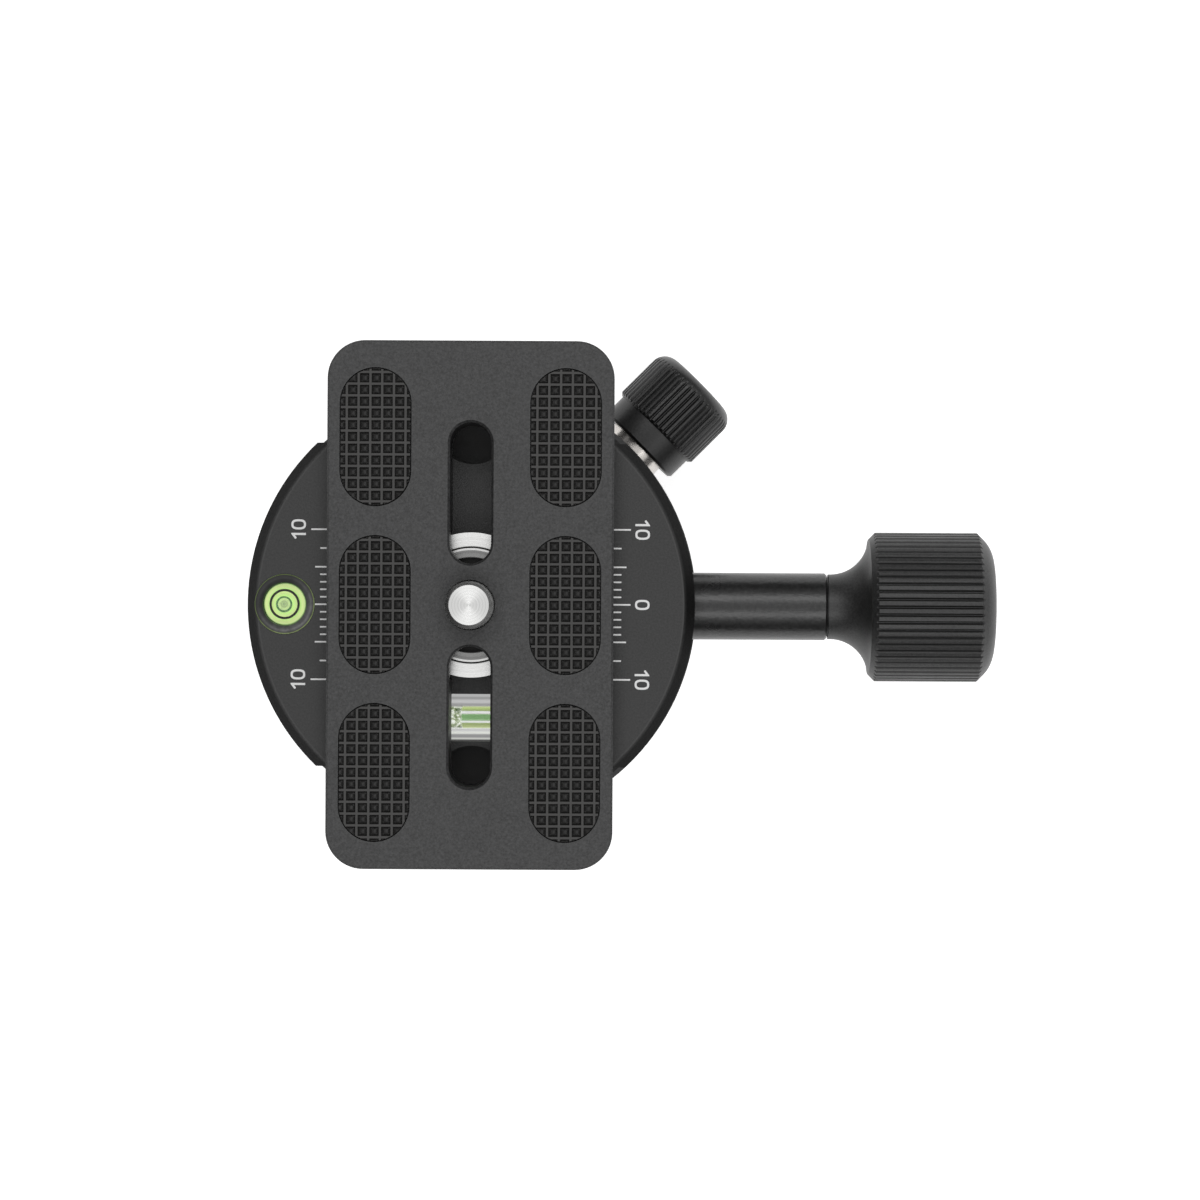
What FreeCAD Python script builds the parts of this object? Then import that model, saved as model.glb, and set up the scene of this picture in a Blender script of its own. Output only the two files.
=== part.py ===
import FreeCAD, Part
import math
import os
import Sketcher

# Panoramic tripod head: a low panning base, a screw clamp for a 38 mm dovetail and its plate.
# Frame: origin on the pan axis at the bottom face, +Z up, +X towards the long clamp knob.
# Lengths are millimetres.

V = FreeCAD.Vector
doc = FreeCAD.newDocument("PanoramicHead")
sheet = doc.addObject("Spreadsheet::Sheet", "Sizes")
nodes = {}


class Size:
    """A length that carries its number and the sheet expression that gives it."""

    def __init__(self, number, text):
        self.number = float(number)
        self.text = text

    def joined(self, other, sign, number):
        return Size(number, "(" + self.text + " " + sign + " " + sized(other).text + ")")

    def __add__(self, other):
        return self.joined(other, "+", self.number + sized(other).number)

    def __sub__(self, other):
        return self.joined(other, "-", self.number - sized(other).number)

    def __mul__(self, other):
        return self.joined(other, "*", self.number * sized(other).number)

    def __truediv__(self, other):
        return self.joined(other, "/", self.number / sized(other).number)

    def __radd__(self, other):
        return sized(other) + self

    def __rsub__(self, other):
        return sized(other) - self

    def __rmul__(self, other):
        return sized(other) * self

    def __neg__(self):
        return sized(0) - self


def sized(thing):
    """Return a plain number as a Size, and a Size as it is."""
    if isinstance(thing, Size):
        return thing
    return Size(thing, "(" + repr(float(thing)) + ")")


def root(length):
    """Return the square root of an area as a length."""
    return Size(math.sqrt(length.number), "sqrt(" + length.text + ")")


def size(name, number, meaning):
    """Put a driving dimension in the next row of the sheet and return it."""
    row = str(len(sheet_rows) + 1)
    sheet_rows.append(name)
    sheet.set("A" + row, meaning)
    sheet.set("B" + row, repr(number))
    sheet.setAlias("B" + row, name)
    return Size(number, "Sizes." + name)


sheet_rows = []

# Clearances
running_gap = size("running_gap", 0.05, "clearance of parts that turn or slide on each other")
assembly_gap = size("assembly_gap", 0.02, "clearance of parts that stay put in their seats")
loose_gap = size("loose_gap", 0.1, "clearance of bores that only guide loosely")
seat_gap = size("seat_gap", 0.15, "clearance round screws and springs in their bores")

# Base
base_radius = size("base_radius", 27.0, "outer radius of the base")
base_height = size("base_height", 15.4, "height of the base")
base_edge = size("base_edge", 1.0, "chamfer at the base's bottom edge")
base_floor = size("base_floor", 3.5, "thickness of the base's floor")
base_groove = size("base_groove", 0.5, "depth of the turned groove round the base")
groove_width = size("groove_width", 1.2, "width of the turned groove round the base")
groove_height = size("groove_height", 12.2, "height of the turned groove's lower edge")
base_wall = size("base_wall", 6.5, "thickness of the base's side wall")
boss_radius = size("boss_radius", 8.0, "radius of the pivot boss inside the base")
boss_height = size("boss_height", 13.6, "height of the pivot boss's top")

# Tripod thread
insert_radius = size("insert_radius", 6.0, "outer radius of the steel thread insert")
insert_length = size("insert_length", 10.0, "length of the steel thread insert")
flange_radius = size("flange_radius", 7.3, "radius of the insert's flange")
flange_thickness = size("flange_thickness", 1.0, "thickness of the insert's flange")
tripod_bore = size("tripod_bore", 4.0, "bore radius of the 3/8 inch tripod thread")

# Pivot
bush_wall = size("bush_wall", 1.0, "wall of the bronze pivot bush")
washer_thickness = size("washer_thickness", 0.8, "thickness of the thrust washers")
nut_radius = size("nut_radius", 11.4, "outer radius of the retaining nut")
nut_height = size("nut_height", 3.0, "height of the retaining nut")
nut_slot = size("nut_slot", 2.4, "width of the retaining nut's wrench slots")
nut_slot_depth = size("nut_slot_depth", 1.4, "depth of the retaining nut's wrench slots")
nut_room = size("nut_room", 0.5, "room round the retaining nut in the turntable")
washer_gap = size("washer_gap", 0.2, "room round the thrust washers")

# Turntable
disc_gap = size("disc_gap", 0.5, "gap between the base and the turntable disc")
disc_radius = size("disc_radius", 30.4, "radius of the turntable disc")
disc_thickness = size("disc_thickness", 4.1, "thickness of the turntable disc")
disc_edge = size("disc_edge", 0.6, "chamfer of the turntable disc")
drum_gap = size("drum_gap", 1.5, "gap between the turntable's brake drum and the base's wall")
hub_floor = size("hub_floor", 5.2, "thickness of the drum's floor")

# Pan brake, on a radial axis
lock_angle = size("lock_angle", 45.0, "angle of the pan lock from the long knob, in degrees")
lock_height = size("lock_height", 8.0, "height of the pan lock's axis")
shoe_radius = size("shoe_radius", 2.9, "radius of the brake shoe")
shoe_travel = size("shoe_travel", 0.8, "release travel of the brake shoe")
shoe_gap = size("shoe_gap", 0.15, "gap between the released shoe and the threaded bush")
lock_bush_radius = size("lock_bush_radius", 4.6, "outer radius of the threaded bush in the base wall")
lock_bush_length = size("lock_bush_length", 3.3, "length of the threaded bush in the base wall")
spot_depth = size("spot_depth", 0.7, "depth of the flat spotface round the pan lock's shaft")
spot_radius = size("spot_radius", 6.6, "radius of the spotface")
lock_thread = size("lock_thread", 2.5, "thread radius of the pan lock screw")
lock_shaft = size("lock_shaft", 4.4, "radius of the pan lock screw's bright shaft")
lock_neck = size("lock_neck", 4.6, "length of the bright shaft between the base and the small knob")
lock_bite = size("lock_bite", 8.5, "length of the pan lock screw inside the small knob")
collar_radius = size("collar_radius", 6.3, "radius of the small knob's smooth collar")
collar_length = size("collar_length", 3.4, "length of the small knob's smooth collar")
small_knob_radius = size("small_knob_radius", 6.9, "radius of the small knob")
small_knob_length = size("small_knob_length", 12.2, "length of the small knob")
collar_edge = size("collar_edge", 0.35, "chamfer of the small knob's collar")
small_front_edge = size("small_front_edge", 0.35, "chamfer in front of the small knob's knurl")
small_front_round = size("small_front_round", 2.8, "radius of the small knob's rounded front edge")
small_groove_depth = size("small_groove_depth", 0.3, "depth of the small knob's knurl")
small_groove_width = size("small_groove_width", 0.52, "width of the small knob's knurl grooves")
knurl_step = size("knurl_step", 0.05, "height of the step under the knurls' grooves")
SMALL_GROOVE_COUNT = 50

# Clamp
clamp_radius = size("clamp_radius", 29.9, "radius of the clamp's round sides")
clamp_half_length = size("clamp_half_length", 21.6, "half the clamp's length along the channel")
slab_thickness = size("slab_thickness", 8.0, "thickness of the clamp under the channel")
jaw_height = size("jaw_height", 7.0, "height of the jaws above the channel floor")
clamp_edge = size("clamp_edge", 1.45, "chamfer round the clamp's top rim")
end_edge = size("end_edge", 0.4, "chamfer along the clamp's flat ends")
fine_edge = size("fine_edge", 0.2, "chamfer of the camera screw's flange")
slab_end = size("slab_end", 16.0, "distance of the slab's end from the pan axis")
jaw_gap = size("jaw_gap", 0.5, "gap between the slab and the sliding jaw")
jaw_lift = size("jaw_lift", 0.3, "gap between the turntable disc and the sliding jaw")
relief_depth = size("relief_depth", 0.4, "depth of the undercut beside the plate's rail")
lip_edge = size("lip_edge", 0.4, "chamfer on each jaw's lip")
notch_radius = size("notch_radius", 5.2, "radius of the notches at the channel's ends")
notch_depth = size("notch_depth", 2.6, "depth of the notches into the clamp's ends")

# Screws that hold the clamp on the turntable
fixing_place_x = size("fixing_place_x", 12.4, "place of the fixing screws across the channel")
fixing_place_y = size("fixing_place_y", 13.5, "place of the fixing screws along the channel")
fixing_head = size("fixing_head", 2.75, "head radius of the fixing screws")
fixing_head_height = size("fixing_head_height", 3.0, "head height of the fixing screws")
fixing_shank = size("fixing_shank", 1.45, "shank radius of the fixing screws")
fixing_bite = size("fixing_bite", 3.6, "length of the fixing screws in the turntable disc")
fixing_socket = size("fixing_socket", 1.25, "radius of the hexagon sockets across corners")
fixing_socket_depth = size("fixing_socket_depth", 1.5, "depth of the hexagon sockets")
head_sink = size("head_sink", 0.2, "depth of the screw heads under the channel floor")

# Jaw drive, on an axis along X
drive_height = size("drive_height", 4.8, "height of the clamp screw above the turntable disc")
drive_radius = size("drive_radius", 2.5, "radius of the clamp screw")
drive_start = size("drive_start", -3.0, "inner end of the clamp screw")
drive_bore_end = size("drive_bore_end", 1.5, "room past the clamp screw's inner end")
jaw_travel = size("jaw_travel", 3.5, "opening travel of the sliding jaw")
pin_place = size("pin_place", 7.5, "distance of the guide pins from the clamp screw")
pin_radius = size("pin_radius", 1.5, "radius of the guide pins")
pin_start = size("pin_start", 3.0, "inner end of the guide pins")
pin_head_place = size("pin_head_place", 25.4, "distance of the guide pin heads from the pan axis")
pin_head_radius = size("pin_head_radius", 2.3, "radius of the guide pin heads")
pin_head_height = size("pin_head_height", 2.0, "height of the guide pin heads")
spring_seat = size("spring_seat", 11.0, "distance of the spring seats from the pan axis")
spring_radius = size("spring_radius", 2.2, "outer radius of the jaw springs")
spring_wall = size("spring_wall", 0.5, "thickness of the jaw springs")

# Sleeve and clamp knob
sleeve_radius = size("sleeve_radius", 4.55, "radius of the sleeve between jaw and knob")
sleeve_start = size("sleeve_start", 26.9, "inner end of the sleeve in the jaw")
sleeve_end = size("sleeve_end", 47.9, "outer end of the sleeve")
sleeve_edge = size("sleeve_edge", 0.25, "chamfer of the sleeve's outer end")
knob_gap = size("knob_gap", 0.2, "visible gap between the sleeve and the knob")
knob_washer_radius = size("knob_washer_radius", 3.8, "radius of the knob's thrust washer")
knob_washer_thickness = size("knob_washer_thickness", 0.8, "thickness of the knob's thrust washer")
knob_radius = size("knob_radius", 10.1, "radius of the clamp knob")
knob_length = size("knob_length", 22.7, "length of the clamp knob")
knob_neck = size("knob_neck", 4.4, "radius of the clamp knob's neck")
neck_straight = size("neck_straight", 0.3, "straight length at the start of the neck")
neck_curve = size("neck_curve", 5.2, "radius of the hollow curve behind the knob")
back_edge = size("back_edge", 0.45, "chamfer behind the clamp knob's knurl")
front_edge = size("front_edge", 0.45, "chamfer in front of the clamp knob's knurl")
front_round = size("front_round", 4.5, "radius of the clamp knob's rounded front edge")
knob_dome = size("knob_dome", 0.3, "rise of the knob's domed front")
drive_in_knob = size("drive_in_knob", 15.0, "length of the clamp screw inside the knob")
groove_depth = size("groove_depth", 0.4, "depth of the clamp knob's knurl")
groove_mouth = size("groove_mouth", 0.62, "width of the clamp knob's knurl grooves")
KNOB_GROOVE_COUNT = 60

# Bullseye level on the fixed jaw
bullseye_place = size("bullseye_place", 24.85, "distance of the round level from the pan axis")
bullseye_radius = size("bullseye_radius", 4.05, "radius of the round level")
bullseye_height = size("bullseye_height", 4.0, "height of the round level")
bullseye_fluid_radius = size("bullseye_fluid_radius", 2.8, "radius of the round level's fluid")
bullseye_lid = size("bullseye_lid", 0.8, "thickness of the round level's lid")
bullseye_floor = size("bullseye_floor", 1.0, "thickness of the round level's floor")

# Tube level across the channel
vial_inset = size("vial_inset", 6.4, "distance of the tube level's axis from the clamp's flat end")
vial_middle = size("vial_middle", 2.0, "middle of the tube level across the channel")
vial_radius = size("vial_radius", 3.1, "radius of the tube level")
vial_length = size("vial_length", 13.0, "length of the tube level")
vial_sink = size("vial_sink", 0.1, "depth of the tube level's top under the channel floor")
vial_bore = size("vial_bore", 1.55, "radius of the tube level's fluid")
vial_fluid_length = size("vial_fluid_length", 9.2, "length of the tube level's fluid, tip to tip")
vial_cone = size("vial_cone", 1.3, "length of the fluid's conical ends")

# Quick release plate
plate_half_width = size("plate_half_width", 19.0, "half the plate's width")
plate_half_length = size("plate_half_length", 35.0, "half the plate's length")
plate_corner = size("plate_corner", 5.0, "corner radius of the plate")
plate_thickness = size("plate_thickness", 4.2, "thickness of the plate above its rail")
plate_edge = size("plate_edge", 0.3, "chamfer round the plate's top")
plate_lift = size("plate_lift", 0.3, "gap between the jaws and the plate")
rail_half_width = size("rail_half_width", 19.0, "half the width of the dovetail rail")
rail_neck = size("rail_neck", 15.9, "half the width of the rail's neck")
rail_flat = size("rail_flat", 1.4, "height of the rail's upright edges")
rail_gap = size("rail_gap", 0.6, "gap between the channel floor and the rail")
rail_fit = size("rail_fit", 0.12, "sideways clearance of the dovetail in the jaws")
slot_half_width = size("slot_half_width", 2.75, "half the width of the plate's slots")
slot_start = size("slot_start", 5.5, "inner end of the slots from the centre")
slot_end = size("slot_end", 24.2, "outer end of the slots from the centre")
slot_edge = size("slot_edge", 0.3, "chamfer round the top of the plate's slots")

# Grip pads
pad_place_x = size("pad_place_x", 12.6, "place of the grip pads across the plate")
pad_place_y = size("pad_place_y", 22.2, "spacing of the grip pads along the plate")
pad_half_width = size("pad_half_width", 4.7, "half the width of a grip pad")
pad_half_length = size("pad_half_length", 9.15, "half the length of a grip pad")
pad_pocket = size("pad_pocket", 1.2, "depth of the grip pads' pockets")
pad_proud = size("pad_proud", 0.3, "height of the grip pads above the plate")
pad_gap = size("pad_gap", 0.06, "gap between a grip pad and its pocket's wall")

# Camera screw, 1/4 inch
camera_radius = size("camera_radius", 3.175, "radius of the camera screw's thread")
camera_neck = size("camera_neck", 2.5, "radius of the plain neck that keeps the screw in the plate")
camera_reach = size("camera_reach", 5.0, "reach of the camera screw above the grip pads")
camera_tip = size("camera_tip", 0.55, "chamfer at the camera screw's tip")
camera_hole = size("camera_hole", 3.35, "radius of the plate's centre hole")
camera_flange = size("camera_flange", 9.7, "radius of the camera screw's flange")
camera_ring = size("camera_ring", 7.8, "outer radius of the raised ring on the flange")
camera_ring_inner = size("camera_ring_inner", 6.4, "inner radius of the raised ring")
camera_ring_height = size("camera_ring_height", 0.4, "height of the raised ring")
camera_flange_gap = size("camera_flange_gap", 1.0, "gap between the raised ring and the plate")
camera_flange_thickness = size("camera_flange_thickness", 2.0, "thickness of the flange's rim")
camera_grip = size("camera_grip", 7.0, "radius of the camera screw's coin-slotted foot")
coin_width = size("coin_width", 1.8, "width of the coin slot")
coin_depth = size("coin_depth", 1.6, "depth of the coin slot")
foot_gap = size("foot_gap", 0.4, "height of the foot above the rail's underside")
flange_room = size("flange_room", 0.6, "room round the camera screw's flange")
collar_wall = size("collar_wall", 2.1, "wall of the nylon collar round the camera screw")
collar_sink = size("collar_sink", 0.9, "depth of the flange's recess for the nylon collar")

# Stop screws under the plate
stop_place = size("stop_place", 30.5, "distance of the stop screws from the plate's centre")
stop_radius = size("stop_radius", 2.5, "head radius of the stop screws")
stop_height = size("stop_height", 1.9, "head height of the stop screws")
stop_shank = size("stop_shank", 1.45, "shank radius of the stop screws")
stop_length = size("stop_length", 4.6, "shank length of the stop screws")
stop_seat = size("stop_seat", 0.1, "depth of the stop screws' seats in the rail")

doc.recompute()


def bind(thing, name, length):
    """Tie a property to the sheet, so that it follows its sizes."""
    thing.setExpression(name, sized(length).text)


def place(thing, x=0, y=0, z=0):
    """Tie the three coordinates of a placement to the sheet."""
    bind(thing, "Placement.Base.x", x)
    bind(thing, "Placement.Base.y", y)
    bind(thing, "Placement.Base.z", z)


def arc_middle(start, end, radius):
    """Return the middle of the arc from start to end; a negative radius bends it to the right."""
    chord = end - start
    half = chord.Length / 2.0
    rise = abs(radius) - math.sqrt(max(radius * radius - half * half, 0.0))
    side = V(-chord.y, chord.x, 0).normalize()
    if radius < 0:
        side = side * -1.0
    return (start + end) * 0.5 + side * rise


def outline(sketch, corners):
    """Draw a closed outline. A corner is (x, y), or (x, y, radius) where an arc leads from it."""
    points = [V(sized(c[0]).number, sized(c[1]).number, 0) for c in corners]
    count = len(corners)
    first = sketch.GeometryCount
    starts = []
    ends = []
    for index in range(count):
        start = points[index]
        end = points[(index + 1) % count]
        if len(corners[index]) == 2:
            sketch.addGeometry(Part.LineSegment(start, end), False)
            starts.append(1)
            ends.append(2)
            continue
        middle = arc_middle(start, end, sized(corners[index][2]).number)
        turns_left = (middle - start).cross(end - middle).z > 0
        if turns_left:
            sketch.addGeometry(Part.Arc(start, middle, end), False)
        else:
            sketch.addGeometry(Part.Arc(end, middle, start), False)
        starts.append(1 if turns_left else 2)
        ends.append(2 if turns_left else 1)
    for index in range(count):
        following = (index + 1) % count
        joint = Sketcher.Constraint("Coincident", first + index, ends[index],
                                    first + following, starts[following])
        sketch.addConstraint(joint)
    for index, corner in enumerate(corners):
        edge = first + index
        tie(sketch, "DistanceX", (-1, 1, edge, starts[index]), corner[0])
        tie(sketch, "DistanceY", (-1, 1, edge, starts[index]), corner[1])
        if len(corner) == 3:
            bend = sized(corner[2])
            sign = -1.0 if bend.number < 0 else 1.0
            tie(sketch, "Radius", (edge,), bend * sign)


def tie(sketch, kind, ends, length):
    """Add a dimension to a sketch and tie it to the sheet."""
    length = sized(length)
    row = sketch.addConstraint(Sketcher.Constraint(kind, *ends, length.number))
    sketch.renameConstraint(row, "size_" + str(row))
    sketch.setExpression("Constraints.size_" + str(row), length.text)


def new_body(name):
    """Make an empty body."""
    body = doc.addObject("PartDesign::Body", name)
    body.Label = name
    return body


def sketch_on(body, plane, name, offset=0):
    """Attach a sketch to one of the body's own origin planes, moved along the plane's normal."""
    sketch = body.newObject("Sketcher::SketchObject", body.Name + "_" + name)
    support = [f for f in body.Origin.OriginFeatures if f.Role == plane][0]
    sketch.AttachmentSupport = [(support, "")]
    sketch.MapMode = "FlatFace"
    bind(sketch, "AttachmentOffset.Base.z", offset)
    return sketch


def turned(name, corners, along="Z"):
    """Turn a profile about Z or X. Its corners are (radius, height) or (place, radius)."""
    body = new_body(name)
    sketch = sketch_on(body, "XZ_Plane", "profile")
    outline(sketch, corners)
    turn = body.newObject("PartDesign::Revolution", name + "_turn")
    turn.Profile = sketch
    turn.ReferenceAxis = (sketch, ["V_Axis" if along == "Z" else "H_Axis"])
    turn.Angle = 360
    body.Tip = turn
    return body


def drawn(name, plane, corners, length, offset=0, both=False):
    """Pad a closed outline along its plane's normal."""
    body = new_body(name)
    sketch = sketch_on(body, plane, "outline", offset)
    outline(sketch, corners)
    pad = body.newObject("PartDesign::Pad", name + "_pad")
    pad.Profile = sketch
    bind(pad, "Length", length)
    pad.Midplane = both
    body.Tip = pad
    return body


def rod(name, radius, length, x=0, y=0, z=0, along="Z"):
    """Make a plain cylinder that starts at a point and runs along +Z or +X."""
    thing = doc.addObject("Part::Cylinder", name)
    thing.Label = name
    bind(thing, "Radius", radius)
    bind(thing, "Height", length)
    if along == "X":
        thing.Placement = FreeCAD.Placement(V(0, 0, 0), FreeCAD.Rotation(V(0, 1, 0), 90))
    place(thing, x, y, z)
    return thing


def block(name, length_x, length_y, length_z, x, y, z):
    """Make a box from its sizes and its lowest corner."""
    thing = doc.addObject("Part::Box", name)
    thing.Label = name
    bind(thing, "Length", length_x)
    bind(thing, "Width", length_y)
    bind(thing, "Height", length_z)
    place(thing, x, y, z)
    return thing


def joined(name, things):
    """Fuse several solids."""
    thing = doc.addObject("Part::MultiFuse", name)
    thing.Label = name
    thing.Shapes = things
    return thing


def shared(name, things):
    """Keep what several solids share."""
    thing = doc.addObject("Part::MultiCommon", name)
    thing.Label = name
    thing.Shapes = things
    return thing


def cut(name, base, tools):
    """Cut tools out of a base."""
    thing = doc.addObject("Part::Cut", name)
    thing.Label = name
    thing.Base = base
    thing.Tool = tools[0] if len(tools) == 1 else joined(name + "_tools", tools)
    return thing


def group(name, things):
    """Keep several separate solids in one node."""
    thing = doc.addObject("Part::Compound", name)
    thing.Label = name
    thing.Links = things
    return thing


def turned_about_pan_axis(thing, z):
    """Set a piece that lies along X on the pan lock's radial axis."""
    thing.Placement = FreeCAD.Placement(V(0, 0, 0), FreeCAD.Rotation(V(0, 0, 1), lock_angle.number))
    place(thing, 0, 0, z)
    thing.setExpression("Placement.Rotation.Angle", lock_angle.text)
    return thing


def keep(thing):
    """Hand a finished piece to its node."""
    nodes[thing.Label] = thing
    return thing


# Heights that several pieces share
disc_bottom = base_height + disc_gap
disc_top = disc_bottom + disc_thickness
floor_top = disc_top + slab_thickness
jaw_top = floor_top + jaw_height
plate_bottom = jaw_top + plate_lift
plate_top = plate_bottom + plate_thickness
rail_bottom = floor_top + rail_gap
rail_neck_height = rail_bottom + rail_flat + rail_half_width - rail_neck
drive_axis = disc_top + drive_height
well_radius = base_radius - base_wall
nut_well = nut_radius + nut_room
hub_radius = well_radius - drum_gap
hub_bottom = base_floor + washer_thickness + running_gap
hub_floor_top = hub_bottom + hub_floor
bush_radius = boss_radius + bush_wall
lock_reach = base_radius + lock_neck
bush_end = base_radius - spot_depth
bush_start = bush_end - lock_bush_length
shoe_back = bush_start - shoe_gap - shoe_travel
vial_place = clamp_half_length - vial_inset
vial_axis = floor_top - vial_sink - vial_radius

# How far a cutting tool runs past what it cuts, how near two heights count as one,
# and the share of an arc of 45 degrees
PAST = 2.0
TOUCH = 1e-6
HALF_RIGHT = math.sqrt(0.5)


def make_base():
    """The cup of the base with its pivot boss, the side bores of the pan brake and the spotface."""
    groove_top = groove_height + groove_width
    cup = turned("base_cup", [
        (insert_radius + assembly_gap, 0),
        (base_radius - base_edge, 0),
        (base_radius, base_edge),
        (base_radius, groove_height),
        (base_radius - base_groove, groove_height + base_groove / 2),
        (base_radius - base_groove, groove_top - base_groove / 2),
        (base_radius, groove_top),
        (base_radius, base_height - base_groove),
        (base_radius - base_groove, base_height),
        (well_radius, base_height),
        (well_radius, base_floor),
        (boss_radius, base_floor),
        (boss_radius, boss_height),
        (insert_radius + assembly_gap, boss_height),
    ])
    recess = rod("flange_recess", flange_radius + assembly_gap, flange_thickness)
    shoe_bore = rod("shoe_bore", shoe_radius + running_gap, bush_start - well_radius + PAST,
                    well_radius - PAST, 0, 0, "X")
    bush_bore = rod("bush_bore", lock_bush_radius + assembly_gap, lock_bush_length + PAST, bush_start, 0, 0, "X")
    spotface = rod("spotface", spot_radius, spot_depth + PAST, base_radius - spot_depth, 0, 0, "X")
    bores = turned_about_pan_axis(joined("brake_bores", [shoe_bore, bush_bore, spotface]), lock_height)
    keep(cut("base_housing", cup, [recess, bores]))


def make_pivot():
    """The thread insert, the bush, the washers and the slotted nut on the pivot boss."""
    keep(turned("tripod_thread_insert", [
        (tripod_bore, 0),
        (flange_radius, 0),
        (flange_radius, flange_thickness),
        (insert_radius, flange_thickness),
        (insert_radius, insert_length),
        (tripod_bore, insert_length),
    ]))
    keep(turned("pivot_bush", [
        (boss_radius + assembly_gap, base_floor),
        (bush_radius, base_floor),
        (bush_radius, hub_floor_top),
        (boss_radius + assembly_gap, hub_floor_top),
    ]))
    washer_inner = bush_radius + washer_gap
    keep(turned("lower_thrust_washer", [
        (washer_inner, base_floor),
        (hub_radius - washer_gap, base_floor),
        (hub_radius - washer_gap, base_floor + washer_thickness),
        (washer_inner, base_floor + washer_thickness),
    ]))
    upper = hub_floor_top + running_gap
    keep(turned("upper_thrust_washer", [
        (boss_radius + loose_gap, upper),
        (nut_radius, upper),
        (nut_radius, upper + washer_thickness),
        (boss_radius + loose_gap, upper + washer_thickness),
    ]))
    nut_bottom = upper + washer_thickness
    nut = turned("nut_blank", [
        (boss_radius + assembly_gap, nut_bottom),
        (nut_radius, nut_bottom),
        (nut_radius, nut_bottom + nut_height),
        (boss_radius + assembly_gap, nut_bottom + nut_height),
    ])
    reach = nut_radius + PAST
    slot_bottom = nut_bottom + nut_height - nut_slot_depth
    across = block("nut_slot_across", reach * 2, nut_slot, nut_slot_depth + PAST,
                   -reach, -nut_slot / 2, slot_bottom)
    along = block("nut_slot_along", nut_slot, reach * 2, nut_slot_depth + PAST,
                  -nut_slot / 2, -reach, slot_bottom)
    keep(cut("retaining_nut", nut, [across, along]))


def make_turntable():
    """The round disc with its brake drum below, bored for the nut and for the fixing screws."""
    blank = turned("turntable_blank", [
        (bush_radius + running_gap, hub_bottom),
        (hub_radius, hub_bottom),
        (hub_radius, disc_bottom),
        (disc_radius - disc_edge, disc_bottom),
        (disc_radius, disc_bottom + disc_edge),
        (disc_radius, disc_top - disc_edge),
        (disc_radius - disc_edge, disc_top),
        (nut_well, disc_top),
        (nut_well, hub_floor_top),
        (bush_radius + running_gap, hub_floor_top),
    ])
    holes = [rod("disc_thread_" + str(number), fixing_shank + running_gap, disc_thickness + PAST * 2,
                 x, y, disc_bottom - PAST)
             for number, (x, y) in enumerate(fixing_places())]
    keep(cut("turntable_disc", blank, holes))


def fixing_places():
    """The four places of the screws that hold the clamp on the turntable."""
    return [(across * fixing_place_x, along * fixing_place_y) for across in (-1, 1) for along in (-1, 1)]


def make_pan_brake():
    """The shoe, the threaded bush, the lock screw and the small knurled knob on the radial axis."""
    shoe_tip = hub_radius + running_gap
    blank = rod("shoe_blank", shoe_radius, shoe_back - shoe_tip + PAST, shoe_tip - PAST, 0, 0, "X")
    drum = rod("shoe_face", shoe_tip, shoe_radius * 4, 0, 0, shoe_radius * -2)
    keep(turned_about_pan_axis(cut("pan_brake_shoe", blank, [drum]), lock_height))
    keep(turned_about_pan_axis(turned("lock_screw_bush", [
        (bush_start, lock_thread + running_gap),
        (bush_end, lock_thread + running_gap),
        (bush_end, lock_bush_radius),
        (bush_start, lock_bush_radius),
    ], "X"), lock_height))
    screw_end = lock_reach + lock_bite
    keep(turned_about_pan_axis(turned("pan_lock_screw", [
        (shoe_back + running_gap, 0),
        (screw_end, 0),
        (screw_end, lock_shaft),
        (base_radius, lock_shaft),
        (base_radius, lock_thread),
        (shoe_back + running_gap, lock_thread),
    ], "X"), lock_height))
    keep(turned_about_pan_axis(pan_lock_knob(screw_end + assembly_gap), lock_height))


def pan_lock_knob(bore_end):
    """The small knob: a smooth collar, a knurl and a chamfered and rounded front edge."""
    front = lock_reach + small_knob_length
    shoulder = lock_reach + collar_length
    bore = lock_shaft + assembly_gap
    arc_reach = small_front_round * (1 - HALF_RIGHT)
    arc_drop = small_front_round * HALF_RIGHT
    knurl_foot = small_knob_radius - small_groove_depth - knurl_step
    knurl_end = front - arc_reach - small_front_edge
    knob = turned("pan_lock_knob", [
        (bore_end, 0),
        (front, 0),
        (front, knurl_foot - small_front_edge - arc_drop, -small_front_round),
        (front - arc_reach, knurl_foot - small_front_edge),
        (knurl_end, knurl_foot),
        (knurl_end, small_knob_radius),
        (shoulder, small_knob_radius),
        (shoulder, collar_radius),
        (lock_reach + collar_edge, collar_radius),
        (lock_reach, collar_radius - collar_edge),
        (lock_reach, bore),
        (bore_end, bore),
    ], "X")
    sketch = sketch_on(knob, "YZ_Plane", "groove", shoulder)
    cut_grooves(knob, sketch, small_knob_radius, small_groove_depth, small_groove_width,
                small_knob_length, SMALL_GROOVE_COUNT)
    return knob


def cut_grooves(body, sketch, radius, depth, width, length, count):
    """Cut a ring of straight V grooves into a knob that lies along X."""
    before = body.Tip
    slope = width / 2 / depth
    outline(sketch, [
        (-(slope * depth * 2), radius + depth),
        (0, radius - depth),
        (slope * depth * 2, radius + depth),
    ])
    pocket = body.newObject("PartDesign::Pocket", body.Name + "_groove")
    pocket.Profile = sketch
    pocket.Reversed = True
    bind(pocket, "Length", length)
    body.Tip = pocket
    doc.recompute()
    if pocket.Shape.Volume > before.Shape.Volume - 1e-6:
        raise RuntimeError("the groove of " + body.Name + " cuts nothing")
    pattern = body.newObject("PartDesign::PolarPattern", body.Name + "_knurl")
    pattern.Originals = [pocket]
    pattern.Axis = (sketch, ["N_Axis"])
    pattern.Angle = 360
    pattern.Occurrences = count
    body.Tip = pattern


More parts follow.
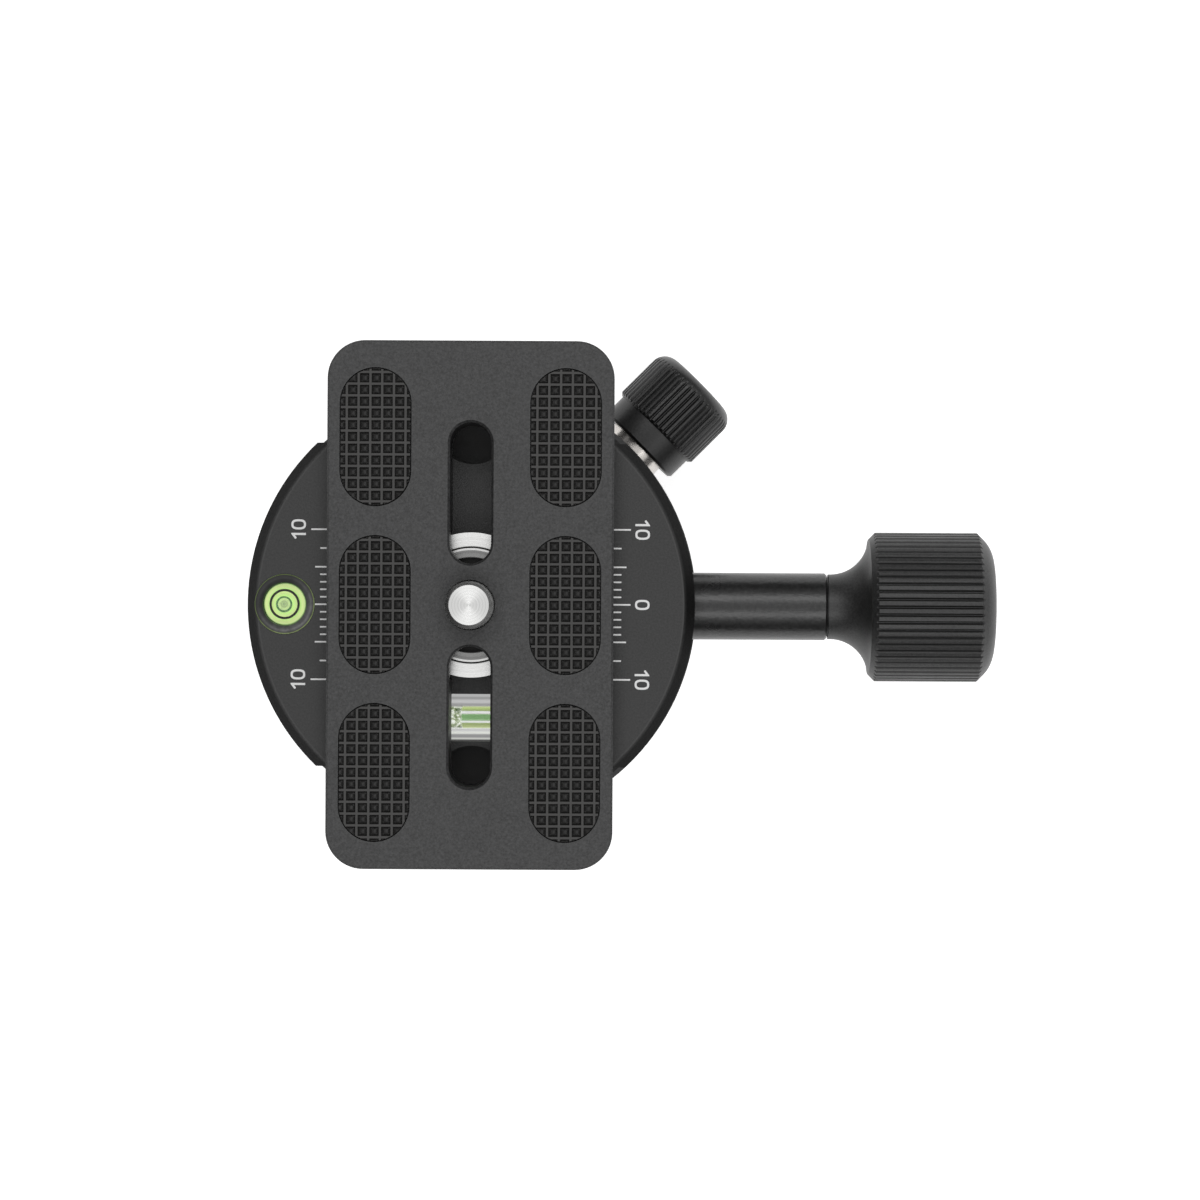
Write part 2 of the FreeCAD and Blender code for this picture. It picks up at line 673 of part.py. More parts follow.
def clamp_envelope(name, bottom):
    """The clamp's outer form: a chamfered round, cut to the clamp's length with its own chamfers."""
    round_part = turned(name + "_round", [
        (0, bottom),
        (clamp_radius - disc_edge, bottom),
        (clamp_radius, bottom + disc_edge),
        (clamp_radius, jaw_top - clamp_edge),
        (clamp_radius - clamp_edge, jaw_top),
        (0, jaw_top),
    ])
    length_part = drawn(name + "_length", "YZ_Plane", [
        (-clamp_half_length, bottom),
        (clamp_half_length, bottom),
        (clamp_half_length, jaw_top - end_edge),
        (clamp_half_length - end_edge, jaw_top),
        (end_edge - clamp_half_length, jaw_top),
        (-clamp_half_length, jaw_top - end_edge),
    ], (clamp_radius + PAST) * 2, 0, True)
    return [round_part, length_part]


def dovetail_face(side):
    """The corners of a jaw's inner face, from the channel floor up to its lip."""
    seat = rail_half_width + rail_fit
    relief = rail_half_width + relief_depth
    start = rail_bottom + rail_flat - relief + seat
    return [
        (side * relief, floor_top),
        (side * relief, start),
        (side * (rail_neck + rail_fit), rail_neck_height),
        (side * (rail_neck + rail_fit), jaw_top - lip_edge),
        (side * (rail_neck + rail_fit + lip_edge), jaw_top),
    ]


def drive_bore(name, radius, start, end):
    """A bore on the clamp screw's axis."""
    return rod(name, radius, end - start, start, 0, drive_axis, "X")


def make_clamp_body():
    """The fixed jaw with the slab under the channel, its notches, pockets and bores."""
    section = drawn("clamp_section", "XZ_Plane", [
        (slab_end, floor_top),
        (slab_end, disc_top),
        (-clamp_radius - PAST, disc_top),
        (-clamp_radius - PAST, jaw_top),
    ] + dovetail_face(-1)[::-1], (clamp_half_length + PAST) * 2, 0, True)
    blank = shared("clamp_blank", [section] + clamp_envelope("clamp", disc_top))
    tools = []
    for side in (-1, 1):
        tools.append(rod("notch_" + ("front" if side < 0 else "back"), notch_radius, slab_thickness + PAST * 2,
                         0, side * (clamp_half_length - notch_depth + notch_radius), disc_top - PAST))
    for number, (x, y) in enumerate(fixing_places()):
        tools.append(rod("fixing_bore_" + str(number), fixing_shank + seat_gap,
                         slab_thickness + PAST * 2, x, y, disc_top - PAST))
        tools.append(rod("fixing_seat_" + str(number), fixing_head + seat_gap,
                         fixing_head_height + head_sink + PAST,
                         x, y, floor_top - head_sink - fixing_head_height))
    tools.append(drive_bore("drive_thread", drive_radius + running_gap,
                            drive_start - drive_bore_end, slab_end + PAST))
    for side in (-1, 1):
        label = "_front" if side < 0 else "_back"
        tools.append(rod("pin_seat" + label, pin_radius + assembly_gap, slab_end - pin_start + PAST,
                         pin_start, side * pin_place, drive_axis, "X"))
        tools.append(rod("spring_pocket" + label, spring_radius + seat_gap,
                         slab_end - spring_seat + PAST, spring_seat, side * pin_place, drive_axis, "X"))
    vial_start = vial_middle - vial_length / 2
    tools.append(rod("vial_groove", vial_radius + loose_gap, vial_length + loose_gap * 2,
                     vial_start - loose_gap, -vial_place, vial_axis, "X"))
    tools.append(block("vial_mouth", vial_length + loose_gap * 2, vial_radius * 2 + loose_gap * 2,
                       vial_radius + PAST, vial_start - loose_gap,
                       -vial_place - vial_radius - loose_gap, vial_axis))
    tools.append(rod("bullseye_pocket", bullseye_radius + assembly_gap, bullseye_height + PAST,
                     -bullseye_place, 0, jaw_top - bullseye_height))
    keep(cut("clamp_body", blank, tools))


def make_sliding_jaw():
    """The jaw on the knob's side, with the bores for the screw, the sleeve and the guide pins."""
    inner = slab_end + jaw_gap
    bottom = disc_top + jaw_lift
    section = drawn("jaw_section", "XZ_Plane", [
        (inner, bottom),
        (inner, floor_top),
    ] + dovetail_face(1) + [
        (clamp_radius + PAST, jaw_top),
        (clamp_radius + PAST, bottom),
    ], (clamp_half_length + PAST) * 2, 0, True)
    blank = shared("jaw_blank", [section] + clamp_envelope("jaw", bottom))
    tools = [
        drive_bore("drive_clearance", drive_radius + loose_gap, inner - PAST, clamp_radius + PAST),
        drive_bore("sleeve_seat", sleeve_radius + assembly_gap, sleeve_start, clamp_radius + PAST),
    ]
    head_floor = pin_head_place - jaw_travel - loose_gap
    for side in (-1, 1):
        label = "_front" if side < 0 else "_back"
        tools.append(rod("pin_slide" + label, pin_radius + running_gap, clamp_radius - inner + PAST * 2,
                         inner - PAST, side * pin_place, drive_axis, "X"))
        tools.append(rod("pin_head_bore" + label, pin_head_radius + loose_gap,
                         clamp_radius + PAST - head_floor, head_floor, side * pin_place, drive_axis, "X"))
    keep(cut("sliding_jaw", blank, tools))


def make_guides():
    """The two shouldered guide pins that also stop the jaw, and their springs."""
    pins = []
    springs = []
    for side in (-1, 1):
        label = "front" if side < 0 else "back"
        shank = rod("pin_shank_" + label, pin_radius, pin_head_place - pin_start,
                    pin_start, side * pin_place, drive_axis, "X")
        head = rod("pin_head_" + label, pin_head_radius, pin_head_height,
                   pin_head_place, side * pin_place, drive_axis, "X")
        pins.append(joined("guide_pin_" + label, [shank, head]))
        length = slab_end + jaw_gap - spring_seat - running_gap
        coil = rod("spring_out_" + label, spring_radius, length,
                   spring_seat, side * pin_place, drive_axis, "X")
        core = rod("spring_in_" + label, spring_radius - spring_wall, length + PAST * 2,
                   spring_seat - PAST, side * pin_place, drive_axis, "X")
        springs.append(cut("spring_" + label, coil, [core]))
    keep(group("jaw_guide_pins", pins))
    keep(group("jaw_springs", springs))


def make_fixing_screws():
    """Four socket screws that hold the clamp on the turntable."""
    screws = []
    head_top = floor_top - head_sink
    for number, (x, y) in enumerate(fixing_places()):
        head = rod("fixing_head_" + str(number), fixing_head, fixing_head_height,
                   x, y, head_top - fixing_head_height)
        shank_bottom = disc_top - fixing_bite
        shank = rod("fixing_shank_" + str(number), fixing_shank, head_top - fixing_head_height - shank_bottom,
                    x, y, shank_bottom)
        socket = doc.addObject("Part::Prism", "fixing_socket_" + str(number))
        socket.Polygon = 6
        bind(socket, "Circumradius", fixing_socket)
        bind(socket, "Height", fixing_socket_depth + PAST)
        place(socket, x, y, head_top - fixing_socket_depth)
        screws.append(cut("fixing_screw_" + str(number), joined("fixing_blank_" + str(number), [head, shank]),
                          [socket]))
    keep(group("clamp_fixing_screws", screws))


def make_clamp_drive():
    """The clamp screw, the sleeve, the washer and the knurled clamp knob on their axis along X."""
    knob_back = sleeve_end + knob_gap
    sleeve = keep(turned("clamp_screw_sleeve", [
        (sleeve_start, drive_radius + loose_gap),
        (sleeve_end, drive_radius + loose_gap),
        (sleeve_end, sleeve_radius - sleeve_edge),
        (sleeve_end - sleeve_edge, sleeve_radius),
        (sleeve_start, sleeve_radius),
    ], "X"))
    washer_start = sleeve_end + running_gap
    washer = keep(turned("knob_washer", [
        (washer_start, drive_radius + running_gap),
        (washer_start + knob_washer_thickness, drive_radius + running_gap),
        (washer_start + knob_washer_thickness, knob_washer_radius),
        (washer_start, knob_washer_radius),
    ], "X"))
    screw_end = knob_back + drive_in_knob
    screw = keep(turned("clamp_screw", [
        (drive_start, 0),
        (screw_end, 0),
        (screw_end, drive_radius),
        (drive_start + end_edge, drive_radius),
        (drive_start, drive_radius - end_edge),
    ], "X"))
    knob = keep(clamp_knob(knob_back, screw_end, washer_start + knob_washer_thickness))
    for piece in (sleeve, washer, screw, knob):
        place(piece, 0, 0, drive_axis)


def clamp_knob(back, bore_end, seat):
    """The clamp knob: a straight neck, a hollow curve, a knurl between two chamfers and a domed front."""
    front = back + knob_length
    dome_start = front - knob_dome
    knurl_foot = knob_radius - groove_depth - knurl_step
    shoulder = knurl_foot - back_edge
    rise = shoulder - knob_neck
    hollow_run = root(neck_curve * neck_curve - (neck_curve - rise) * (neck_curve - rise))
    hollow_end = back + neck_straight + hollow_run
    arc_reach = front_round * (1 - HALF_RIGHT)
    knurl_end = dome_start - arc_reach - front_edge
    dome_foot = knurl_foot - front_edge - front_round * HALF_RIGHT
    dome_radius = (dome_foot * dome_foot + knob_dome * knob_dome) / (knob_dome * 2)
    knob = turned("clamp_knob", [
        (bore_end + assembly_gap, 0),
        (front, 0, -dome_radius),
        (dome_start, dome_foot, -front_round),
        (dome_start - arc_reach, knurl_foot - front_edge),
        (knurl_end, knurl_foot),
        (knurl_end, knob_radius),
        (hollow_end + back_edge, knob_radius),
        (hollow_end + back_edge, knurl_foot),
        (hollow_end, shoulder, neck_curve),
        (back + neck_straight, knob_neck),
        (back, knob_neck),
        (back, knob_washer_radius + assembly_gap),
        (seat + assembly_gap, knob_washer_radius + assembly_gap),
        (seat + assembly_gap, drive_radius + assembly_gap),
        (bore_end + assembly_gap, drive_radius + assembly_gap),
    ], "X")
    sketch = sketch_on(knob, "YZ_Plane", "groove", hollow_end)
    cut_grooves(knob, sketch, knob_radius, groove_depth, groove_mouth, knob_length, KNOB_GROOVE_COUNT)
    return knob


def make_levels():
    """The round level in the fixed jaw and the tube level in its groove across the channel."""
    round_bottom = jaw_top - bullseye_height
    fluid_bottom = round_bottom + bullseye_floor
    fluid_height = bullseye_height - bullseye_floor - bullseye_lid
    cup = rod("bullseye_cup", bullseye_radius, bullseye_height, -bullseye_place, 0, round_bottom)
    hollow = rod("bullseye_hollow", bullseye_fluid_radius, fluid_height, -bullseye_place, 0, fluid_bottom)
    keep(cut("bullseye_vial", cup, [hollow]))
    keep(rod("bullseye_fluid", bullseye_fluid_radius - assembly_gap, fluid_height - assembly_gap * 2,
             -bullseye_place, 0, fluid_bottom + assembly_gap))
    keep(cut("tube_vial", rod("vial_rod", vial_radius, vial_length,
                              vial_middle - vial_length / 2, -vial_place, vial_axis, "X"),
             [placed_spindle("vial_hollow", 0)]))
    keep(placed_spindle("tube_vial_fluid", assembly_gap))


def placed_spindle(name, margin):
    """The tube level's fluid: a rod with conical ends, smaller all round by the margin."""
    half = vial_fluid_length / 2 - margin
    spindle = turned(name, [
        (vial_middle - half, 0),
        (vial_middle + half, 0),
        (vial_middle + half - vial_cone, vial_bore - margin),
        (vial_middle - half + vial_cone, vial_bore - margin),
    ], "X")
    place(spindle, 0, -vial_place, vial_axis)
    return spindle


def stadium(name, half_width, half_length, height, x, y, z):
    """An upright solid with round ends along Y."""
    straight = half_length - half_width
    body = drawn(name, "XY_Plane", [
        (half_width, -straight),
        (half_width, straight, -half_width),
        (0, half_length, -half_width),
        (-half_width, straight),
        (-half_width, -straight, -half_width),
        (0, -half_length, -half_width),
    ], height)
    place(body, x, y, z)
    return body


def rounded_plan(name, half_width, bottom, height):
    """The plate's plan with its rounded corners, as an upright solid."""
    x = half_width
    y = plate_half_length
    near = half_width - plate_corner
    far = plate_half_length - plate_corner
    body = drawn(name, "XY_Plane", [
        (x, -far),
        (x, far, -plate_corner),
        (near, y),
        (-near, y, -plate_corner),
        (-x, far),
        (-x, -far, -plate_corner),
        (-near, -y),
        (near, -y, -plate_corner),
    ], height)
    place(body, 0, 0, bottom)
    return body


def chamfer_rim(body, height, width):
    """Chamfer the edges that lie all round a body at one height of its own."""
    doc.recompute()
    pad = body.Tip
    rim = [index for index, edge in enumerate(pad.Shape.Edges, 1)
           if abs(edge.BoundBox.ZMin - height) < TOUCH and abs(edge.BoundBox.ZMax - height) < TOUCH]
    chamfer = body.newObject("PartDesign::Chamfer", body.Name + "_rim")
    chamfer.Base = (pad, ["Edge" + str(index) for index in rim])
    bind(chamfer, "Size", width)
    body.Tip = chamfer


def make_plate():
    """The quick release plate: a chamfered top on a dovetail rail, with slots, pockets and bores."""
    top = rounded_plan("plate_top", plate_half_width, plate_bottom, plate_thickness)
    chamfer_rim(top, plate_thickness.number, plate_edge)
    rail_plan = rounded_plan("rail_plan", rail_half_width, rail_bottom, plate_bottom - rail_bottom)
    rail_section = drawn("rail_section", "XZ_Plane", [
        (-rail_half_width + end_edge, rail_bottom),
        (rail_half_width - end_edge, rail_bottom),
        (rail_half_width, rail_bottom + end_edge),
        (rail_half_width, rail_bottom + rail_flat),
        (rail_neck, rail_neck_height),
        (rail_neck, plate_bottom),
        (-rail_neck, plate_bottom),
        (-rail_neck, rail_neck_height),
        (-rail_half_width, rail_bottom + rail_flat),
        (-rail_half_width, rail_bottom + end_edge),
    ], plate_half_length * 2, 0, True)
    rail = shared("plate_rail", [rail_section, rail_plan])
    blank = joined("plate_blank", [top, rail])
    tools = []
    slot_half_length = (slot_end - slot_start) / 2
    slot_middle = (slot_end + slot_start) / 2
    depth = plate_top - rail_bottom + PAST * 2
    for side in (-1, 1):
        label = "front" if side < 0 else "back"
        tools.append(stadium("slot_" + label, slot_half_width, slot_half_length, depth,
                             0, side * slot_middle, rail_bottom - PAST))
        mouth = stadium("slot_mouth_" + label, slot_half_width + slot_edge, slot_half_length + slot_edge,
                        slot_edge + PAST, 0, side * slot_middle, plate_top - slot_edge)
        chamfer_rim(mouth, 0, slot_edge)
        tools.append(mouth)
        tools.append(rod("stop_thread_" + label, stop_shank + assembly_gap, stop_length + PAST,
                         0, side * stop_place, rail_bottom - PAST + stop_seat))
    for number, (x, y) in enumerate(pad_places()):
        tools.append(stadium("pad_pocket_" + str(number), pad_half_width + pad_gap,
                             pad_half_length + pad_gap, pad_pocket + PAST, x, y, plate_top - pad_pocket))
    tools.append(rod("camera_bore", camera_hole, depth, 0, 0, rail_bottom - PAST))
    tools.append(rod("flange_pocket", camera_flange + flange_room, plate_bottom - rail_bottom + PAST,
                     0, 0, rail_bottom - PAST))
    keep(cut("quick_plate", blank, tools))


def pad_places():
    """The six places of the grip pads, in two rows of three."""
    return [(across * pad_place_x, along * pad_place_y) for across in (-1, 1) for along in (-1, 0, 1)]


def make_pads():
    """Six rubber grip pads, a little proud of the plate."""
    keep(group("grip_pads", [
        stadium("grip_pad_" + str(number), pad_half_width, pad_half_length, pad_pocket + pad_proud,
                x, y, plate_top - pad_pocket)
        for number, (x, y) in enumerate(pad_places())
    ]))


def make_camera_screw():
    """The camera screw with its stepped flange and coin-slotted foot, and its nylon collar."""
    ring_top = plate_bottom - camera_flange_gap
    flange_top = ring_top - camera_ring_height
    flange_bottom = flange_top - camera_flange_thickness
    foot = rail_bottom + foot_gap
    collar_floor = ring_top - collar_sink
    seat = plate_top + pad_proud
    tip = seat + camera_reach
    turned_screw = turned("camera_blank", [
        (0, foot),
        (camera_grip, foot),
        (camera_grip, flange_bottom),
        (camera_flange - fine_edge, flange_bottom),
        (camera_flange, flange_bottom + fine_edge),
        (camera_flange, flange_top),
        (camera_ring, flange_top),
        (camera_ring, ring_top - fine_edge),
        (camera_ring - fine_edge, ring_top),
        (camera_ring_inner, ring_top),
        (camera_ring_inner, collar_floor),
        (camera_neck, collar_floor),
        (camera_neck, seat),
        (camera_radius, seat),
        (camera_radius, tip - camera_tip),
        (camera_radius - camera_tip, tip),
        (0, tip),
    ])
    reach = camera_grip + PAST
    slot = block("coin_slot", reach * 2, coin_width, coin_depth + PAST, -reach, -coin_width / 2, foot - PAST)
    keep(cut("camera_screw", turned_screw, [slot]))
    keep(turned("camera_screw_collar", [
        (camera_hole, collar_floor + running_gap),
        (camera_hole + collar_wall, collar_floor + running_gap),
        (camera_hole + collar_wall, plate_bottom - assembly_gap),
        (camera_hole, plate_bottom - assembly_gap),
    ]))


def make_stop_screws():
    """Two screws under the plate's ends that keep it from sliding out of the clamp."""
    screws = []
    for side in (-1, 1):
        label = "front" if side < 0 else "back"
        head = rod("stop_head_" + label, stop_radius, stop_height, 0, side * stop_place, rail_bottom - stop_height)
        shank = rod("stop_shank_" + label, stop_shank, stop_length, 0, side * stop_place,
                    rail_bottom - stop_seat)
        screws.append(joined("stop_screw_" + label, [head, shank]))
    keep(group("plate_stop_screws", screws))


make_base()
make_pivot()
make_turntable()
make_pan_brake()
make_clamp_body()
make_sliding_jaw()
make_guides()
make_fixing_screws()
make_clamp_drive()
make_levels()
make_plate()
make_pads()
make_camera_screw()
make_stop_screws()
doc.recompute()

# Nothing is written unless every object recomputed and every node holds valid solids
for thing in doc.Objects:
    if "Invalid" in thing.State or "Error" in thing.State:
        raise RuntimeError(thing.Name + " did not recompute: " + str(thing.State))
for node, thing in nodes.items():
    shape = thing.Shape
    if shape.isNull() or not shape.isValid() or not shape.Solids:
        raise RuntimeError("the shape of " + node + " is not valid")

os.makedirs("parts", exist_ok=True)
for node, thing in nodes.items():
    thing.Shape.exportStep("parts/" + node + ".step")
    print(node, len(thing.Shape.Solids), "solids,", round(thing.Shape.Volume, 2), "mm3")
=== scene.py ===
# %% [markdown]
# # A panoramic tripod head
#
# The solids of the part come in as a fixed frame, each on the body that it moves with. This script
# gives them their finishes, and swaps the few that deserve more than the solids hold, such as the
# knurled knobs and the waffle pads, for finer surfaces. The frame comes first because every later
# piece is placed by it and rides on one of its bodies.

# %% Load the frame
import math
import bpy
import numpy as np
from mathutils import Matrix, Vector


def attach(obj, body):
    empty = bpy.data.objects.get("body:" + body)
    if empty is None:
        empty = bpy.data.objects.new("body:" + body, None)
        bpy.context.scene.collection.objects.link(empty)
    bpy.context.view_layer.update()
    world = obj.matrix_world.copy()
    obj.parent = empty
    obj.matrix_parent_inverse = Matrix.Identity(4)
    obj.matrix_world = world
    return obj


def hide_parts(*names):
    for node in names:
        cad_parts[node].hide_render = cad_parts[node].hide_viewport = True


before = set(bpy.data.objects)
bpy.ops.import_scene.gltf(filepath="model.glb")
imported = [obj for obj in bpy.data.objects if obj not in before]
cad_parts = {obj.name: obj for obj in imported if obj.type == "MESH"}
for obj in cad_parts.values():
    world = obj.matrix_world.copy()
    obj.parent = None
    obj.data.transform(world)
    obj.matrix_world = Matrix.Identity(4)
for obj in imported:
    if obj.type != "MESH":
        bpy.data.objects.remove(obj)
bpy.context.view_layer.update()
scene = bpy.context.scene
MM = 0.001

# %% [markdown]
# ## Looking straight down
#
# The photograph looks down the pan axis from above, so the plate faces the lens and the drum below
# hides behind it. A long lens from a little over half a metre keeps the knobs near parallel. The
# camera could also be fitted by eye, but its place here comes from known heights of the part, and a
# turn of a third of a degree stands for the way the real head lay.

# %% Camera
LENS, SENSOR = 123.75, 36.0
CAMERA_PLACE = (17.2, 0.76, 585.0)
CAMERA_ROLL = 0.3
camera_data = bpy.data.cameras.new("camera")
camera_data.sensor_width = SENSOR
camera_data.lens = LENS
camera = bpy.data.objects.new("camera", camera_data)
camera.location = Vector(CAMERA_PLACE) * MM
camera.rotation_euler = (0, 0, math.radians(CAMERA_ROLL))
scene.collection.objects.link(camera)
scene.camera = camera
scene.view_settings.view_transform = "Standard"
print("lens", LENS, "mm at", CAMERA_PLACE[2], "mm height")

# %% [markdown]
# ## White table, light from above
#
# A product on a light table has no horizon: the floor and the sky are the same white. Turning the
# lamps up until the floor clips would bleach the metal too, so the Light Path node gives the white
# to the camera, to mirror reflections and to clear pieces alone. Round metal looks round because its
# sides reflect a darker room, so the sky that the object sees is bright overhead and on the right
# and falls off towards the horizon, as between two black cards. Two long softboxes, one each side of
# the lens, draw the double line along the sleeve and the bow tie on the end of the turned screw.

# %% Node helpers
def link(tree, start, end):
    """Joins an output socket to an input socket."""
    tree.links.new(start, end)


def sums(tree, operation, *values):
    """A Math node whose inputs are sockets or plain numbers."""
    node = tree.nodes.new("ShaderNodeMath")
    node.operation = operation
    for place, value in enumerate(values):
        if isinstance(value, (int, float)):
            node.inputs[place].default_value = value
        else:
            link(tree, value, node.inputs[place])
    return node.outputs[0]


def spread(tree, value, low, high, first=0.0, last=1.0):
    """Stretches a value that runs from first to last, so that it runs from low to high."""
    node = tree.nodes.new("ShaderNodeMapRange")
    ends = {"From Min": first, "From Max": last, "To Min": low, "To Max": high}
    for socket, number in ends.items():
        node.inputs[socket].default_value = number
    link(tree, value, node.inputs["Value"])
    return node.outputs["Result"]


def parts(tree, vector):
    """The X, Y and Z sockets of a vector."""
    node = tree.nodes.new("ShaderNodeSeparateXYZ")
    link(tree, vector, node.inputs[0])
    return node.outputs


# %% World
SKY_FILL, HORIZON = 0.6, 0.06
TO_THE_RIGHT = 0.33
world = bpy.data.worlds.new("light_tent")
world.use_nodes = True
scene.world = world
tree = world.node_tree
sky = tree.nodes["Background"]
sky.inputs["Color"].default_value = (1, 1, 1, 1)
path = tree.nodes.new("ShaderNodeLightPath")
x, _, z = parts(tree, tree.nodes.new("ShaderNodeTexCoord").outputs["Generated"])
leaning = sums(tree, "MULTIPLY_ADD", x, TO_THE_RIGHT, z)
shade = spread(tree, leaning, HORIZON, 1.0, 0.35, 0.85)
mirror = sums(tree, "MAXIMUM", path.outputs["Is Glossy Ray"], path.outputs["Is Transmission Ray"])
lit = sums(tree, "MULTIPLY", sums(tree, "MAXIMUM", mirror, SKY_FILL), shade)
link(tree, sums(tree, "MAXIMUM", path.outputs["Is Camera Ray"], lit), sky.inputs["Strength"])
print("sky fill", SKY_FILL, "and at the horizon", HORIZON, "of it")

# %% Lamps
LAMP_WIDTH, LAMP_DEPTH = 900, 320
OBJECT_MIDDLE = Vector((20, 0, 20))


def softbox(name, place, power):
    """A rectangular lamp at a place in millimetres that shines on the object, in watts."""
    lamp_data = bpy.data.lights.new(name, "AREA")
    lamp_data.shape = "RECTANGLE"
    lamp_data.size = LAMP_WIDTH * MM
    lamp_data.size_y = LAMP_DEPTH * MM
    lamp_data.energy = power
    lamp = bpy.data.objects.new(name, lamp_data)
    lamp.location = Vector(place) * MM
    way = Vector(place) - OBJECT_MIDDLE
    lamp.rotation_euler = way.to_track_quat("Z", "Y").to_euler()
    scene.collection.objects.link(lamp)
    print(name, "at", round(way.length), "mm,", power, "W")


softbox("softbox_back", (20, 516, 990), 2.9)
softbox("softbox_front", (20, -516, 990), 2.6)

# %% Floor
FLOOR_GLOW, FLOOR_WHITE, REACH = 0.82, 0.8, 2.0
floor_mesh = bpy.data.meshes.new("floor")
floor_corners = [(REACH * x, REACH * y, 0) for x, y in ((-1, -1), (1, -1), (1, 1), (-1, 1))]
floor_mesh.from_pydata(floor_corners, [], [(0, 1, 2, 3)])
floor_finish = bpy.data.materials.new("white_table")
floor_finish.use_nodes = True
tree = floor_finish.node_tree
tree.nodes.clear()
plain = tree.nodes.new("ShaderNodeBsdfDiffuse")
plain.inputs["Color"].default_value = (FLOOR_WHITE, FLOOR_WHITE, FLOOR_WHITE, 1)
glow = tree.nodes.new("ShaderNodeEmission")
path = tree.nodes.new("ShaderNodeLightPath")
seen = sums(tree, "MAXIMUM", path.outputs["Is Camera Ray"], path.outputs["Is Glossy Ray"])
seen = sums(tree, "MAXIMUM", seen, path.outputs["Is Transmission Ray"])
link(tree, sums(tree, "MULTIPLY", seen, FLOOR_GLOW), glow.inputs["Strength"])
both = tree.nodes.new("ShaderNodeAddShader")
link(tree, plain.outputs[0], both.inputs[0])
link(tree, glow.outputs[0], both.inputs[1])
output = tree.nodes.new("ShaderNodeOutputMaterial")
link(tree, both.outputs[0], output.inputs["Surface"])
floor_mesh.materials.append(floor_finish)
floor = bpy.data.objects.new("floor", floor_mesh)
scene.collection.objects.link(floor)
print("floor glow", FLOOR_GLOW)

# %% [markdown]
# ## Effects that several finishes share
#
# Blasting and turning leave marks on every metal piece of this head, only in other amounts, and a
# painted highlight runs along its sharp edges. Each effect is one node group with its own inputs,
# placed in every material that needs it. Copied nodes would look the same, but drift apart with
# every change.

# %% Node group helper
def effect(name, inputs, outputs):
    """An empty node group: inputs are (name, kind, value), outputs are (name, kind)."""
    tree = bpy.data.node_groups.new(name, "ShaderNodeTree")
    for label, kind, value in inputs:
        socket = tree.interface.new_socket(label, in_out="INPUT", socket_type=kind)
        if value is not None:
            socket.default_value = value
    for label, kind in outputs:
        tree.interface.new_socket(label, in_out="OUTPUT", socket_type=kind)
    return tree, tree.nodes.new("NodeGroupInput"), tree.nodes.new("NodeGroupOutput")


def noise(tree, vector, scale, detail=2.0, rough=0.5):
    """A noise texture's value; scale is a socket or the count of its cells in a metre."""
    node = tree.nodes.new("ShaderNodeTexNoise")
    link(tree, vector, node.inputs["Vector"])
    if isinstance(scale, (int, float)):
        node.inputs["Scale"].default_value = scale
    else:
        link(tree, scale, node.inputs["Scale"])
    node.inputs["Detail"].default_value = detail
    node.inputs["Roughness"].default_value = rough
    return node.outputs["Fac"]


# %% Blasted grain
grain_group, start, end = effect(
    "blasted_grain",
    [("Vector", "NodeSocketVector", None), ("Grains per metre", "NodeSocketFloat", 6000.0)],
    [("Grain", "NodeSocketFloat"), ("Cloud", "NodeSocketFloat")])
place = start.outputs["Vector"]
fine = noise(grain_group, place, start.outputs["Grains per metre"], 3.0, 0.65)
link(grain_group, fine, end.inputs["Grain"])
link(grain_group, noise(grain_group, place, 260.0, 3.0), end.inputs["Cloud"])
print("made", grain_group.name)

# %% Turning marks
turned_group, start, end = effect(
    "turning_marks",
    [("Vector", "NodeSocketVector", None), ("Rings per metre", "NodeSocketFloat", 5000.0)],
    [("Rings", "NodeSocketFloat"), ("Radius", "NodeSocketFloat")])
x, y, z = parts(turned_group, start.outputs["Vector"])
square = sums(turned_group, "MULTIPLY_ADD", y, y, sums(turned_group, "MULTIPLY", x, x))
radius = sums(turned_group, "SQRT", square)
along = turned_group.nodes.new("ShaderNodeCombineXYZ")
link(turned_group, radius, along.inputs["X"])
link(turned_group, z, along.inputs["Y"])
rings = noise(turned_group, along.outputs[0], start.outputs["Rings per metre"], 3.0, 0.6)
link(turned_group, rings, end.inputs["Rings"])
link(turned_group, radius, end.inputs["Radius"])
print("made", turned_group.name)

# %% Painted edge highlights
EDGE_WIDTH = 0.25
# A mask for a painted highlight on sharp edges: where a bevelled normal turns away from the true one, broken
# up by a noise.
edge_group, start, end = effect(
    "painted_edge_highlight",
    [("Vector", "NodeSocketVector", None), ("Strength", "NodeSocketFloat", 1.0)],
    [("Edge", "NodeSocketFloat")])
soft = edge_group.nodes.new("ShaderNodeBevel")
soft.samples = 4
soft.inputs["Radius"].default_value = EDGE_WIDTH * MM
true = edge_group.nodes.new("ShaderNodeNewGeometry")
turn = edge_group.nodes.new("ShaderNodeVectorMath")
turn.operation = "DOT_PRODUCT"
link(edge_group, soft.outputs["Normal"], turn.inputs[0])
link(edge_group, true.outputs["Normal"], turn.inputs[1])
bent = sums(edge_group, "SUBTRACT", 1.0, turn.outputs["Value"])
patchy = sums(edge_group, "MULTIPLY", bent, noise(edge_group, start.outputs["Vector"], 900.0, 2.0))
edge_light = sums(edge_group, "MULTIPLY", patchy, start.outputs["Strength"])
link(edge_group, sums(edge_group, "MINIMUM", edge_light, 1.0), end.inputs["Edge"])
print("made", edge_group.name)

# %% [markdown]
# ## Finishes
#
# Black anodised aluminium is a dark, matt oxide with a weak mirror reflection, and no bare metal
# shows. A metallic shader would look too much like gunmetal, so the oxide is a plain dark base with
# a broad highlight, a fine blasted grain in its normals and a painted highlight, a slightly paler
# line, on its edges.

# %% Material helpers
finishes = {}


